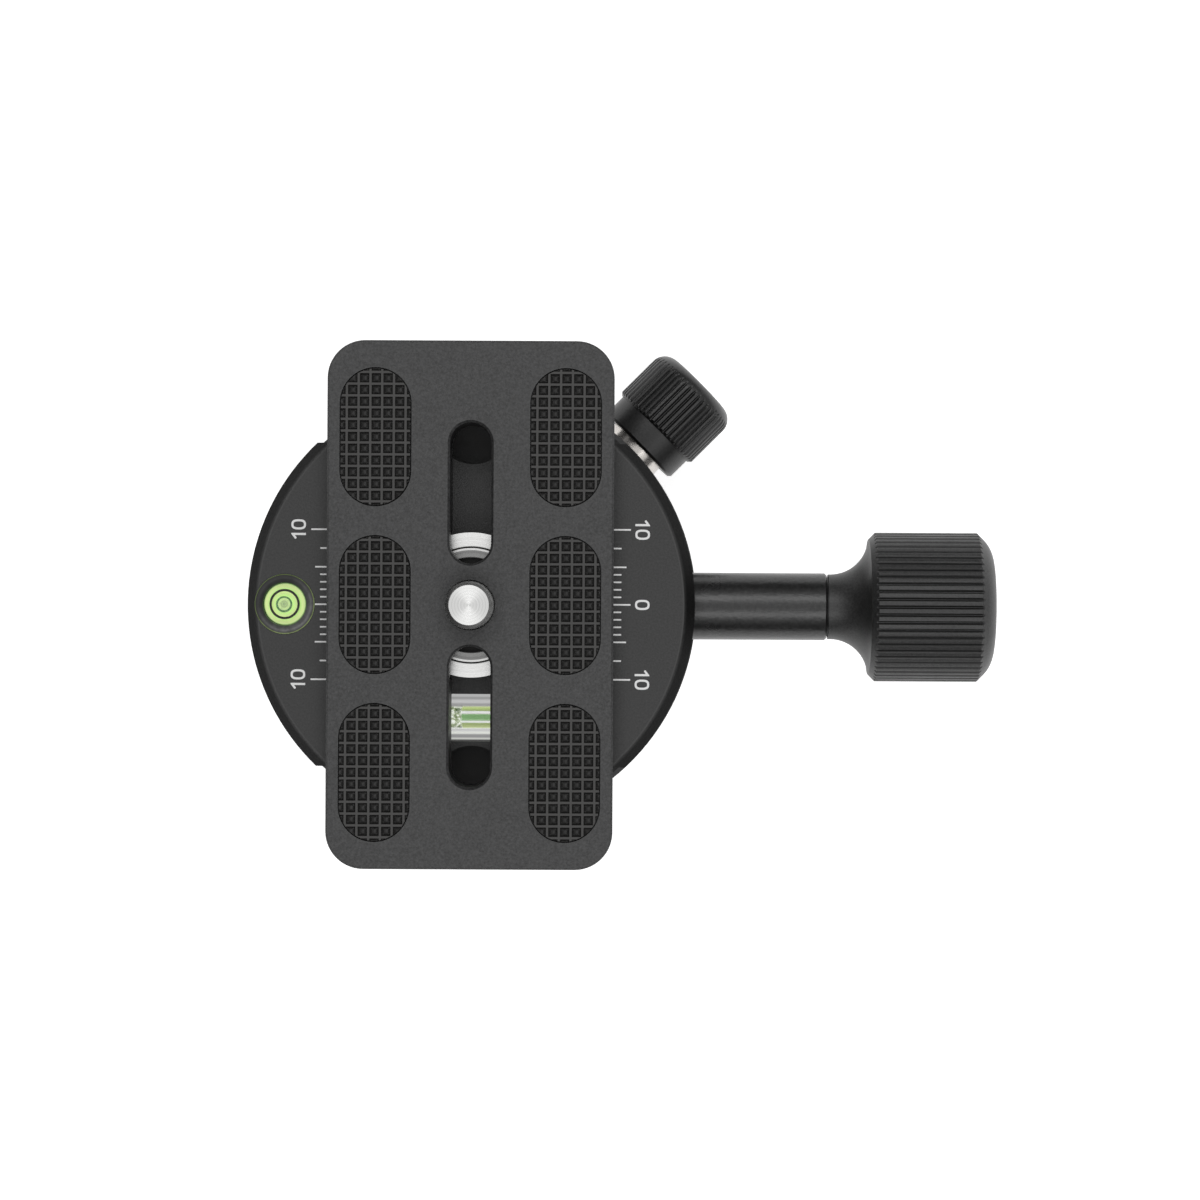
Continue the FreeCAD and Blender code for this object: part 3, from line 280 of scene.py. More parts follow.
def finish(name, colour, roughness, **fixed):
    """Adds a Principled material to the finishes; fixed holds plain numbers for its sockets."""
    made = bpy.data.materials.new(name)
    made.use_nodes = True
    tree = made.node_tree
    shader = tree.nodes["Principled BSDF"]
    shader.inputs["Base Color"].default_value = (*colour, 1)
    shader.inputs["Roughness"].default_value = roughness
    for socket, value in fixed.items():
        shader.inputs[socket.replace("_", " ")].default_value = value
    finishes[name] = made
    print("finish", name)
    return tree, shader


def object_place(tree, centre=(0, 0, 0), turn=(0, 0, 0)):
    """Object coordinates with a place in millimetres as their origin, turned by angles in degrees."""
    place = tree.nodes.new("ShaderNodeTexCoord")
    mapping = tree.nodes.new("ShaderNodeMapping")
    mapping.vector_type = "TEXTURE"
    mapping.inputs["Location"].default_value = [value * MM for value in centre]
    mapping.inputs["Rotation"].default_value = [math.radians(value) for value in turn]
    link(tree, place.outputs["Object"], mapping.inputs["Vector"])
    return mapping.outputs["Vector"]


def use(tree, group, **values):
    """A node that stands for a group, its inputs given as sockets or numbers."""
    node = tree.nodes.new("ShaderNodeGroup")
    node.node_tree = group
    for label, value in values.items():
        socket = node.inputs[label.replace("_", " ")]
        if isinstance(value, (int, float)):
            socket.default_value = value
        else:
            link(tree, value, socket)
    return node.outputs


def blend(tree, factor, first, second):
    """A colour mixed between two, each a socket or three numbers, by a socket."""
    node = tree.nodes.new("ShaderNodeMix")
    node.data_type = "RGBA"
    for place, value in ((0, factor), (6, first), (7, second)):
        if isinstance(value, tuple):
            node.inputs[place].default_value = (*value, 1)
        else:
            link(tree, value, node.inputs[place])
    return node.outputs[2]


def bumped(tree, shader, height, distance):
    """Feeds a height into the shader's normal through a Bump node; distance is in millimetres."""
    node = tree.nodes.new("ShaderNodeBump")
    node.inputs["Distance"].default_value = distance * MM
    link(tree, height, node.inputs["Height"])
    link(tree, node.outputs["Normal"], shader.inputs["Normal"])


# %% Colours
def grey(value):
    """A neutral colour of one brightness."""
    return (value, value, value)


def shaded(colour, share):
    """A colour times a number, at most white."""
    return tuple(min(value * share, 1.0) for value in colour)


def ramp(tree, value, *stops):
    """A Color Ramp from place, colour, place, colour ...; one number as a colour is a grey."""
    node = tree.nodes.new("ShaderNodeValToRGB")
    elements = node.color_ramp.elements
    for place in stops[2:-2:2]:
        elements.new(place)
    for element, place, colour in zip(elements, stops[::2], stops[1::2]):
        element.position = place
        element.color = (*(colour if isinstance(colour, tuple) else grey(colour)), 1)
    link(tree, value, node.inputs["Fac"])
    return node.outputs["Color"]


def way_out(tree, place, first, last):
    """Runs from 0 to 1 between two distances, in millimetres, from the upright axis."""
    radius = use(tree, turned_group, Vector=place)["Radius"]
    return spread(tree, radius, 0, 1, first * MM, last * MM)


def paint(tree, shader, colour, glow=0.0):
    """Links a colour to the shader's base and, where it glows, to its emission."""
    link(tree, colour, shader.inputs["Base Color"])
    if glow:
        link(tree, colour, shader.inputs["Emission Color"])
        shader.inputs["Emission Strength"].default_value = glow


# %% Anodised aluminium
EDGE_HIGHLIGHT, HIGHLIGHT_SHARE, GROOVE_SHADE = 2.2, 2.6, 0.12
RIM_SHADE = grey(0.008)


def anodised(name, colour, roughness, grain, depth, contrast, rim=None):
    """Dark oxide: colour and gloss vary with grain and cloud, and edges are a little paler.

    The paler edges are a painted highlight, and a piece's groove attribute paints shade into its
    grooves. Where rim is given, the metal beyond that distance from the pan axis carries a pale line
    of painted highlight and then a near-black band of painted shade, whose weak mirror comes from
    counting it as a dark metal.
    """
    tree, shader = finish(name, colour, roughness)
    place = object_place(tree)
    marks = use(tree, grain_group, Vector=place, Grains_per_metre=grain)
    edges = use(tree, edge_group, Vector=place, Strength=EDGE_HIGHLIGHT)
    pale = shaded(colour, HIGHLIGHT_SHARE)
    base = blend(tree, spread(tree, marks["Grain"], -0.5, 1.5),
                 shaded(colour, 1 - contrast), shaded(colour, 1 + contrast))
    # Painted highlight: sharp edges turn paler.
    base = blend(tree, edges["Edge"], base, pale)
    # Painted light on the rim: a pale highlight line, then a near-black band of painted shade.
    if rim:
        across = way_out(tree, place, rim - 0.5, rim + 0.5)
        line = ramp(tree, across, 0.0, 0, 0.3, 0, 0.42, 1, 0.6, 0, 1.0, 0)
        band = ramp(tree, across, 0.5, 0, 0.9, 0.8)
        base = blend(tree, line, blend(tree, band, base, RIM_SHADE), pale)
        link(tree, band, shader.inputs["Metallic"])
    # Painted shade: the knurl's grooves darken to a small share of the colour.
    groove = tree.nodes.new("ShaderNodeAttribute")
    groove.attribute_name = "groove"
    paint(tree, shader, blend(tree, groove.outputs["Fac"], base, shaded(colour, GROOVE_SHADE)))
    gloss = spread(tree, marks["Cloud"], roughness - 0.06, roughness + 0.06)
    link(tree, gloss, shader.inputs["Roughness"])
    bumped(tree, shader, marks["Grain"], depth)


anodised("anodised_black", grey(0.011), 0.42, 5200.0, 0.008, 0.3)
anodised("anodised_clamp", grey(0.012), 0.42, 3600.0, 0.028, 0.8, rim=28.45)
anodised("anodised_plate", (0.030, 0.030, 0.0305), 0.46, 3200.0, 0.036, 0.9)
anodised("anodised_sleeve", grey(0.012), 0.29, 2000.0, 0.035, 0.8)
anodised("anodised_knob", grey(0.019), 0.46, 3600.0, 0.02, 0.8)
anodised("anodised_lock_knob", grey(0.008), 0.38, 3600.0, 0.02, 0.8)

# %% Steel and bronze
SCREW_SHADE = 32.6
TOOL_MARK = 0.004


def turned_metal(name, colour, roughness, centre=(0, 0, 0), turn=(0, 0, 0), spun=0.0, rings=None):
    """Turned metal: rings about an axis vary its colour, gloss and height.

    Where rings are given, as radius, share of the colour and so on, they paint light and shade into
    the colour of the side that looks up from above SCREW_SHADE millimetres: dark rings as painted
    shade and bright ones as painted highlights.
    """
    tree, shader = finish(name, colour, roughness, Metallic=1.0, Anisotropic=spun,
                          Anisotropic_Rotation=0.25)
    place = object_place(tree, centre, turn)
    marks = use(tree, turned_group, Vector=place, Rings_per_metre=6000.0)
    base = blend(tree, marks["Rings"], shaded(colour, 0.86), colour)
    if rings:
        last = rings[-2]
        stops = [stop for radius, share in zip(rings[::2], rings[1::2])
                 for stop in (radius / last, shaded(colour, share))]
        bands = ramp(tree, way_out(tree, place, 0, last), *stops)
        bands = blend(tree, spread(tree, marks["Rings"], -0.2, 0.5), bands, grey(0.0))
        upper = spread(tree, parts(tree, place)["Z"], 0, 1, SCREW_SHADE * MM, (SCREW_SHADE + 0.1) * MM)
        base = blend(tree, upper, base, bands)
    paint(tree, shader, base)
    gloss = spread(tree, marks["Rings"], roughness - 0.05, roughness + 0.07)
    link(tree, gloss, shader.inputs["Roughness"])
    bumped(tree, shader, marks["Rings"], TOOL_MARK)
    if spun:
        way = tree.nodes.new("ShaderNodeTangent")
        way.direction_type = "RADIAL"
        way.axis = "Z"
        link(tree, way.outputs["Tangent"], shader.inputs["Tangent"])


# Painted light and shade on the screw seen from above: a darker chamfer round the end face, a near-black
# recess inside the raised ring and a thin dark line are painted shade, and a bright line on the raised ring
# is a painted highlight.
turned_metal("turned_steel", (0.80, 0.80, 0.79), 0.26, spun=0.75, rings=(
    0, 0.95, 2.6, 0.95, 2.68, 0.3, 3.15, 0.3, 3.3, 0.02, 6.3, 0.02, 6.5, 0.36, 7.3, 0.26,
    7.4, 0.9, 7.6, 0.9, 7.68, 0.10, 7.8, 0.10, 7.9, 0.86, 9.7, 0.86))
turned_metal("shaft_steel", (0.62, 0.59, 0.56), 0.24, centre=(0, 0, 8.0), turn=(0, 90, 45))
turned_metal("plain_steel", (0.62, 0.62, 0.61), 0.3)
turned_metal("black_steel", (0.08, 0.08, 0.082), 0.38)
turned_metal("bronze", (0.60, 0.40, 0.20), 0.3)

# %% [markdown]
# ## Plastics, rubber and the levels
#
# Nylon and rubber scatter light, so they are plain shaders with a fine surface noise. The levels are
# clear acrylic round a bright green spirit. Real refraction would need many light bounces through
# small pieces, and the fluid would still come out too dark, so the acrylic lets most light straight
# through with its alpha, the fluid is a bright, slightly glowing solid, and the bands, rings and
# glints that bent light would draw are painted into their colours.

# %% Nylon and rubber
def moulded(name, colour, roughness, grain, depth, specular=0.5, polished=None):
    """A moulded plastic or rubber: a fine noise in its colour and its height.

    Where polished is given as (low, high, share), the colour rises to that share of itself between
    those two heights, a painted highlight on the tops of the ridges.
    """
    tree, shader = finish(name, colour, roughness, Specular_IOR_Level=specular)
    place = object_place(tree)
    marks = use(tree, grain_group, Vector=place, Grains_per_metre=grain)
    base = blend(tree, marks["Grain"], shaded(colour, 0.8), shaded(colour, 1.15))
    # Painted highlight: the ridge tops are lighter than the pits.
    if polished:
        low, high, share = polished
        height = spread(tree, parts(tree, place)["Z"], 0, 1, low * MM, high * MM)
        base = blend(tree, height, base, shaded(colour, share))
    paint(tree, shader, base)
    gloss = spread(tree, marks["Cloud"], roughness - 0.05, roughness + 0.08)
    link(tree, gloss, shader.inputs["Roughness"])
    bumped(tree, shader, marks["Grain"], depth)


moulded("nylon_white", (0.74, 0.73, 0.69), 0.45, 3000.0, 0.006)
moulded("nylon_black", grey(0.02), 0.45, 3000.0, 0.006)
moulded("rubber_pad", (0.016, 0.0155, 0.015), 0.5, 5200.0, 0.02, 0.45, polished=(39.6, 39.78, 2.6))
moulded("white_print", grey(0.92), 0.6, 9000.0, 0.002, 0.3)
moulded("black_print", (0.012, 0.014, 0.010), 0.4, 9000.0, 0.002, 0.3)

# %% The round level's vial
BULLSEYE = (-24.85, 0, 35.0)
BUBBLE = (-24.97, 0, 35.0)
VIAL, VIAL_WALL_SHADE = (0.90, 0.94, 0.90), (0.012, 0.016, 0.010)
tree, shader = finish("clear_acrylic", VIAL, 0.06, Transmission_Weight=1.0, IOR=1.49)
marks = use(tree, grain_group, Vector=object_place(tree), Grains_per_metre=1500.0)
bumped(tree, shader, marks["Grain"], 0.004)
# Painted shade: the vial's outer wall is near black and opaque, where the clear acrylic looks dark.
wall = way_out(tree, object_place(tree, BULLSEYE), 3.92, 4.0)
paint(tree, shader, blend(tree, wall, VIAL, VIAL_WALL_SHADE))
link(tree, spread(tree, wall, 0.2, 1.0), shader.inputs["Alpha"])

# %% The round level's spirit and bubble
pale, green, deep = (0.64, 0.80, 0.30), (0.50, 0.80, 0.22), (0.20, 0.42, 0.10)
tree, shader = finish("round_level_spirit", green, 0.12, Coat_Weight=0.5)
# Painted light: pale rings and a darker edge in the spirit, and a slight glow.
colour = ramp(tree, way_out(tree, object_place(tree, BULLSEYE), 0, 2.8), 0.0, green, 0.42, green,
              0.58, pale, 0.72, green, 0.84, pale, 0.94, pale, 1.0, deep)
paint(tree, shader, colour, 0.4)

rim, core = (0.02, 0.16, 0.02), (0.46, 0.62, 0.26)
tree, shader = finish("bubble", core, 0.1, Coat_Weight=0.5)
# Painted light: a highlight in the middle, a bright ring and a dark rim, and a slight glow.
colour = ramp(tree, way_out(tree, object_place(tree, BUBBLE), 0, 1.1),
              0.0, (0.70, 0.80, 0.50), 0.10, (0.20, 0.32, 0.12), 0.20, core, 0.36, (0.34, 0.48, 0.20),
              0.5, (0.56, 0.72, 0.30), 0.72, (0.60, 0.80, 0.32), 0.78, rim, 0.98, rim, 1.0, core)
flecks = use(tree, grain_group, Vector=object_place(tree), Grains_per_metre=2600.0)
speckle = spread(tree, flecks["Grain"], 0, 0.5, 0.45, 0.75)
paint(tree, shader, blend(tree, speckle, colour, (0.30, 0.42, 0.18)), 0.2)

# %% The round level's edge
tree, shader = finish("level_rim", (0.33, 0.42, 0.12), 0.2, Specular_IOR_Level=0.2)
place = object_place(tree, BULLSEYE)
glints = use(tree, grain_group, Vector=place, Grains_per_metre=900.0)
# Painted highlights and shade on the clear edge: brighter towards the lower right and in random glints, dark
# across most of the ring, and a pale green line near its outer edge.
x, y, _ = parts(tree, place)
lower_right = sums(tree, "MULTIPLY_ADD", x, 0.8, sums(tree, "MULTIPLY", y, -1.0))
lit = sums(tree, "MULTIPLY", spread(tree, lower_right, 0.15, 1.0, -2.5 * MM, 3.5 * MM),
           spread(tree, glints["Grain"], 0.5, 1.2, 0.3, 0.7))
across = way_out(tree, place, 2.8, 4.05)
dark = ramp(tree, across, 0.0, (0.05, 0.16, 0.03), 0.1, (0.006, 0.010, 0.004), 0.35, 0.010, 0.7, 0.03,
            0.88, 0.02, 0.93, (0.16, 0.24, 0.06), 0.98, (0.16, 0.24, 0.06), 1.0, 0.01)
light = ramp(tree, across, 0.0, (0.16, 0.28, 0.08), 0.15, 0.08, 0.4, 0.12, 0.55, 0.20, 0.8, 0.08,
             0.92, (0.30, 0.38, 0.14), 0.98, (0.34, 0.42, 0.20), 1.0, 0.02)
paint(tree, shader, blend(tree, lit, dark, light))

# %% Tube level
TUBE_LEVEL = (2.0, -15.2, 24.8)
DULL, PALE, WHITE, CLEAR = 0.36, 0.60, (0.80, 0.82, 0.77), 0.10


def across_tube(tree, half):
    """A value that runs from 0 to 1 across the tube level, from its front side to its back."""
    return spread(tree, parts(tree, object_place(tree, TUBE_LEVEL))["Y"], 0, 1, -half * MM, half * MM)


tree, shader = finish("tube_acrylic", grey(PALE), 0.12)
# Painted reflections: white and pale bands along the tube and random glints at its end stand in for light
# that the curved acrylic bends, and the acrylic glows.
across = across_tube(tree, 3.1)
bands = ramp(tree, across, 0.0, DULL, 0.03, WHITE, 0.07, DULL, 0.12, DULL, 0.15, WHITE, 0.18, WHITE,
             0.22, PALE, 0.25, PALE, 0.375, DULL, 0.39, PALE, 0.42, PALE, 0.44, DULL, 0.57, DULL,
             0.59, PALE, 0.63, PALE, 0.65, DULL, 0.75, DULL, 0.79, DULL, 0.83, PALE, 0.87, PALE,
             0.92, DULL, 0.96, PALE, 1.0, PALE)
glints = use(tree, grain_group, Vector=object_place(tree), Grains_per_metre=1100.0)
end_glass = ramp(tree, spread(tree, glints["Grain"], 0, 1, 0.35, 0.65),
                 0.0, (0.05, 0.09, 0.03), 0.4, (0.30, 0.36, 0.20), 0.6, WHITE, 1.0, WHITE)
from_middle = sums(tree, "ABSOLUTE", sums(tree, "SUBTRACT", across, 0.5))
at_end = sums(tree, "MULTIPLY",
              spread(tree, parts(tree, object_place(tree))["X"], 1, 0, -1.7 * MM, -1.3 * MM),
              spread(tree, from_middle, 1, 0, 0.2, 0.24))
paint(tree, shader, blend(tree, at_end, bands, end_glass), 0.7)
cover = ramp(tree, across, 0.0, 1, 0.24, 1, 0.27, CLEAR, 0.375, CLEAR, 0.395, 0.8, 0.415, 0.8,
             0.435, CLEAR, 0.57, CLEAR, 0.59, 0.8, 0.625, 0.8, 0.645, CLEAR, 0.73, CLEAR, 0.76, 1, 1.0, 1)
link(tree, sums(tree, "MAXIMUM", cover, sums(tree, "MULTIPLY", at_end, 0.85)), shader.inputs["Alpha"])

# %% The tube level's spirit
tree, shader = finish("tube_spirit", (0.4, 0.6, 0.12), 0.1)
# Painted light: darker and paler bands along the spirit stand in for the curved tube's refraction, and the
# spirit glows.
bands = ramp(tree, across_tube(tree, 1.55),
             0.0, (0.36, 0.42, 0.16), 0.2, (0.19, 0.25, 0.05), 0.32, (0.28, 0.42, 0.18),
             0.36, (0.12, 0.30, 0.07), 0.62, (0.10, 0.28, 0.06), 0.66, (0.40, 0.48, 0.30),
             0.78, (0.20, 0.28, 0.06), 0.9, (0.38, 0.50, 0.13), 1.0, (0.44, 0.46, 0.28))
paint(tree, shader, bands, 0.6)
print("finishes:", sorted(finishes))

# %% [markdown]
# ## Finishes for the frame's own solids
#
# Every solid gets the finish of the real piece. The solids are never moved or edited, because the
# collision model and the joints were made from them.

# %% Dress the solids
solid_finish = {
    "base_housing": "anodised_black", "turntable_disc": "anodised_black", "clamp_body": "anodised_clamp",
    "sliding_jaw": "anodised_clamp", "clamp_screw_sleeve": "anodised_sleeve", "clamp_knob": "anodised_knob",
    "pan_lock_knob": "anodised_lock_knob", "quick_plate": "anodised_plate", "grip_pads": "rubber_pad",
    "camera_screw": "turned_steel", "camera_screw_collar": "nylon_black", "plate_stop_screws": "black_steel",
    "clamp_screw": "plain_steel", "knob_washer": "nylon_black", "pan_lock_screw": "shaft_steel",
    "tripod_thread_insert": "plain_steel", "pivot_bush": "bronze", "lower_thrust_washer": "nylon_white",
    "upper_thrust_washer": "nylon_white", "retaining_nut": "black_steel", "lock_screw_bush": "bronze",
    "pan_brake_shoe": "nylon_black", "jaw_guide_pins": "plain_steel", "jaw_springs": "plain_steel",
    "clamp_fixing_screws": "black_steel", "bullseye_vial": "clear_acrylic",
    "bullseye_fluid": "round_level_spirit", "tube_vial": "tube_acrylic", "tube_vial_fluid": "tube_spirit",
}
for node, kind in solid_finish.items():
    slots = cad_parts[node].data.materials
    if not slots:
        slots.append(None)
    for place in range(len(slots)):
        slots[place] = finishes[kind]
print("dressed", len(solid_finish), "of", len(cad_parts), "solids")

# %% [markdown]
# ## Surfaces from arrays
#
# A turned piece is a profile that goes round an axis, and a knurl is a rule that lowers its radius at
# some angles. Numpy works out the whole grid of points at once, which is quicker than modelling by
# hand and keeps every rib the same. Points that coincide are welded, so seams and poles close.

# %% Grid helpers
def quads(rows, columns):
    """Corner numbers of the squares between neighbours of a grid whose last column meets its first."""
    index = np.arange(rows * columns).reshape(rows, columns)
    beside = np.roll(index, -1, axis=1)
    return np.stack([index[:-1], beside[:-1], beside[1:], index[1:]], -1).reshape(-1, 4)


def weld(points, faces):
    """One number for points that coincide; a square with a doubled corner becomes a triangle."""
    _, first, number = np.unique(np.round(points, 5), axis=0, return_index=True, return_inverse=True)
    faces = number.reshape(-1)[faces]
    doubled = faces == np.roll(faces, -1, axis=1)
    whole = faces[~doubled.any(1)]
    thin = faces[doubled.sum(1) == 1]
    corner = np.argmax(doubled[doubled.sum(1) == 1], axis=1)
    thin = np.take_along_axis(thin, (corner[:, None] + np.arange(1, 4)) % 4, axis=1)
    return points[first], whole, thin, first


def volume(points, faces):
    """Signed volume inside closed faces: a sixth of the sum of every corner triple's product."""
    corners = points[faces]
    total = 0.0
    for second in range(1, faces.shape[1] - 1):
        wedge = np.cross(corners[:, second], corners[:, second + 1])
        total += float((corners[:, 0] * wedge).sum()) / 6
    return total


def outward(points, faces):
    """Welds a closed grid surface and turns its faces outwards."""
    points, whole, thin, first = weld(points, faces)
    if volume(points, whole) + volume(points, thin) < 0:
        whole, thin = whole[:, ::-1], thin[:, ::-1]
    return points, whole.tolist() + thin.tolist(), first


def solid(name, points, faces, kind, body, slot, replaced=(), groove=None):
    """An object from a closed grid surface in millimetres.

    Where groove is given, it says how deep each point lies in a groove, from 0 to 1, and the mesh
    keeps it as an attribute that the finish reads.
    """
    points, faces, first = outward(points, faces)
    mesh = bpy.data.meshes.new(name)
    mesh.from_pydata((points * MM).tolist(), [], faces)
    if groove is not None:
        mesh.attributes.new("groove", "FLOAT", "POINT").data.foreach_set("value", groove.ravel()[first])
    show(name, mesh, kind, body, replaced)


def show(name, mesh, kind, body, replaced=(), crease=35.0):
    """Gives a mesh its finish and its body, and says how many faces it has."""
    mesh.validate()
    mesh.shade_smooth()
    mesh.set_sharp_from_angle(angle=math.radians(crease))
    mesh.materials.clear()
    mesh.materials.append(finishes[kind])
    thing = bpy.data.objects.new(name, mesh)
    scene.collection.objects.link(thing)
    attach(thing, body)
    if replaced:
        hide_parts(*replaced)
    print(name, len(mesh.polygons), "faces on", body)


# %% Profiles
def straight(start, end, step=0.4):
    """Points on the line from start up to, but not including, end, about a step apart."""
    start, end = np.array(start, float), np.array(end, float)
    count = max(1, int(np.ceil(np.linalg.norm(end - start) / step)))
    return start + (end - start) * (np.arange(count) / count)[:, None]


def bend(centre, radius, first, last, step=6.0):
    """Points on an arc, centre plus radius times cosine and sine, up to but not including its end."""
    count = max(2, int(abs(last - first) / step))
    angle = np.radians(first + (last - first) * np.arange(count) / count)
    return np.stack([centre[0] + radius * np.cos(angle), centre[1] + radius * np.sin(angle)], -1)


def revolve(profile, angles, rule=None):
    """Points (place, r cos a, r sin a) of a profile of (place, r); a rule may lower r."""
    place, angle = np.meshgrid(profile[:, 0], angles, indexing="ij")
    radius = np.repeat(profile[:, 1][:, None], len(angles), axis=1)
    if rule is not None:
        radius = rule(place, radius, angle)
    points = np.stack([place, radius * np.cos(angle), radius * np.sin(angle)], -1)
    return points.reshape(-1, 3), quads(len(profile), len(angles))


def around(count):
    """Evenly spread angles of a full turn."""
    return np.arange(count) * (2 * np.pi / count)


def turned(profile, sides, rule=None, centre=(0, 0)):
    """Points (r cos a, r sin a, height) of a profile of (r, height); a rule may change r."""
    profile = np.array(profile, float)
    height, angle = np.meshgrid(profile[:, 1], around(sides), indexing="ij")
    radius = np.repeat(profile[:, 0][:, None], sides, axis=1)
    if rule is not None:
        radius = rule(height, radius, angle)
    points = np.stack([centre[0] + radius * np.cos(angle), centre[1] + radius * np.sin(angle), height], -1)
    return points.reshape(-1, 3), quads(len(profile), sides)


print("a quarter circle has", len(bend((0, 0), 1, 0, 90)), "points")

# %% [markdown]
# ## The knurled clamp knob
#
# A straight knurl is rolled or cut as V grooves along the knob, so at each chamfer its ribs run out
# into points. Here the radius is the smaller of two numbers: the turned profile, and a V that rises
# from each groove's bottom by the distance from its middle. The points at the rib ends then come by
# themselves, as they do on the lathe.

# %% Knurl rule
def knurl(count, radius, depth, width, start, end):
    """Angles that follow the grooves, and a rule: r = min(profile, R - depth + slope * distance)."""
    pitch = 2 * np.pi * radius / count
    half = width / 2
    offsets = np.array([-pitch / 2, -half - 0.03, -half + 0.05, -0.04, 0.04, half - 0.05, half + 0.03])
    angles = ((np.arange(count) * pitch)[:, None] + offsets[None, :]).reshape(-1) / radius

    def rule(place, profile, angle):
        turn = np.mod(angle * radius + pitch / 2, pitch) - pitch / 2
        floor = radius - depth + (depth / half) * np.maximum(np.abs(turn) - 0.04, 0.0)
        cut = (place > start) & (place < end)
        return np.where(cut, np.minimum(profile, floor), profile)
    return angles, rule


def groove_depth(profile, points, depth):
    """How far each point lies below the turned profile, as a share of the knurl's depth."""
    radius = np.hypot(points[:, 1], points[:, 2]).reshape(len(profile), -1)
    return np.clip((profile[:, 1][:, None] - radius) / depth, 0, 1)


def on_axis(points, height, turn=0.0):
    """Turns points that lie along X about the pan axis by degrees, and lifts them to a height."""
    c, s = math.cos(math.radians(turn)), math.sin(math.radians(turn))
    x, y, z = points.T
    return np.stack([x * c - y * s, x * s + y * c, z + height], -1)


# %% Clamp knob
DRIVE_HEIGHT, GROOVE_WIDTH = 24.8, 0.46
KNOB_RADIUS, KNOB_GROOVE, KNOB_GROOVES = 10.1, 0.34, 60
profile = np.concatenate([
    straight((63.12, 0), (63.12, 2.52)),
    straight((63.12, 2.52), (48.77, 2.52), 3.0),
    straight((48.77, 2.52), (48.77, 3.82), 1.5),
    straight((48.77, 3.82), (48.1, 3.82)),
    straight((48.1, 3.82), (48.1, 4.4)),
    straight((48.1, 4.4), (48.4, 4.4)),
    bend((48.4, 9.6), 5.2, -90, -4.4),
    straight((53.585, 9.2), (54.485, KNOB_RADIUS), 0.09),
    straight((54.485, KNOB_RADIUS), (68.282, KNOB_RADIUS), 1.0),
    straight((68.282, KNOB_RADIUS), (69.182, 9.2), 0.09),
    bend((66.0, 6.018), 4.5, 45, 0),
    bend((10.25, 0), 60.54, 5.7, 0, 0.8),
    [(70.79, 0)],
])
angles, rule = knurl(KNOB_GROOVES, KNOB_RADIUS, KNOB_GROOVE, GROOVE_WIDTH, 53.6, 69.18)
points, faces = revolve(profile, angles, rule)
solid("knurled_clamp_knob", on_axis(points, DRIVE_HEIGHT), faces, "anodised_knob", "clamp_drive",
      "anodised_knob", ["clamp_knob"], groove=groove_depth(profile, points, KNOB_GROOVE))

# %% Pan lock knob
SMALL_RADIUS, SMALL_GROOVE, SMALL_GROOVES = 6.9, 0.3, 50
LOCK_HEIGHT, LOCK_TURN = 8.0, 45.0
profile = np.concatenate([
    straight((40.12, 0), (40.12, 4.42)),
    straight((40.12, 4.42), (31.6, 4.42), 3.0),
    straight((31.6, 4.42), (31.6, 5.95)),
    straight((31.6, 5.95), (31.95, 6.3)),
    straight((31.95, 6.3), (35.0, 6.3), 1.5),
    straight((35.0, 6.3), (35.0, 6.5)),
    straight((35.0, 6.5), (35.4, SMALL_RADIUS), 0.06),
    straight((35.4, SMALL_RADIUS), (41.5, SMALL_RADIUS), 1.0),
    bend((41.5, 4.6), 2.3, 90, 0, 3.0),
    straight((43.8, 4.6), (43.8, 0), 1.5),
    [(43.8, 0)],
])
angles, rule = knurl(SMALL_GROOVES, SMALL_RADIUS, SMALL_GROOVE, GROOVE_WIDTH, 35.01, 42.97)
points, faces = revolve(profile, angles, rule)
solid("knurled_pan_lock_knob", on_axis(points, LOCK_HEIGHT, LOCK_TURN), faces, "anodised_lock_knob",
      "pan_lock", "anodised_knob", ["pan_lock_knob"], groove=groove_depth(profile, points, SMALL_GROOVE))

# %% [markdown]
# ## Waffle pads
#
# The rubber pads are moulded with rows of square pits between narrow ridges, and the pad's round
# outline cuts through the pits at its border. The pits are one height field, and the outline is a
# prism. Their common part, taken once by a Boolean modifier and copied to the six pockets, gives
# the wavy rim that the real pads have.

# %% Boolean helper
def common(first, second, operation):
    """The mesh of two closed meshes after a Boolean modifier, in metres."""
    things = []
    for mesh in (first, second):
        thing = bpy.data.objects.new("boolean_" + mesh.name, mesh)
        scene.collection.objects.link(thing)
        things.append(thing)
    cutter = things[0].modifiers.new("common", "BOOLEAN")
    cutter.operation = operation
    cutter.solver = "EXACT"
    cutter.object = things[1]
    bpy.context.view_layer.update()
    result = bpy.data.meshes.new_from_object(things[0].evaluated_get(bpy.context.evaluated_depsgraph_get()))
    for thing in things:
        bpy.data.objects.remove(thing)
    return result


def closed_mesh(name, points, faces):
    """A mesh in millimetres from a closed grid, its faces outwards."""
    points, faces, _ = outward(points, faces)
    mesh = bpy.data.meshes.new(name)
    mesh.from_pydata(points.tolist(), [], faces)
    mesh.validate()
    return mesh


def points_of(mesh):
    """A mesh's points as rows."""
    flat = np.zeros(len(mesh.vertices) * 3)
    mesh.vertices.foreach_get("co", flat)
    return flat.reshape(-1, 3)


# %% Pits
PITCH, RIDGE, PIT_DEPTH, POINT = 1.555, 0.3, 0.46, 0.36
PAD_FLOOR, PAD_TOP = 38.3, 39.8
PAD_WIDTH, PAD_LENGTH = 4.61, 9.06
FOOT = 0.82


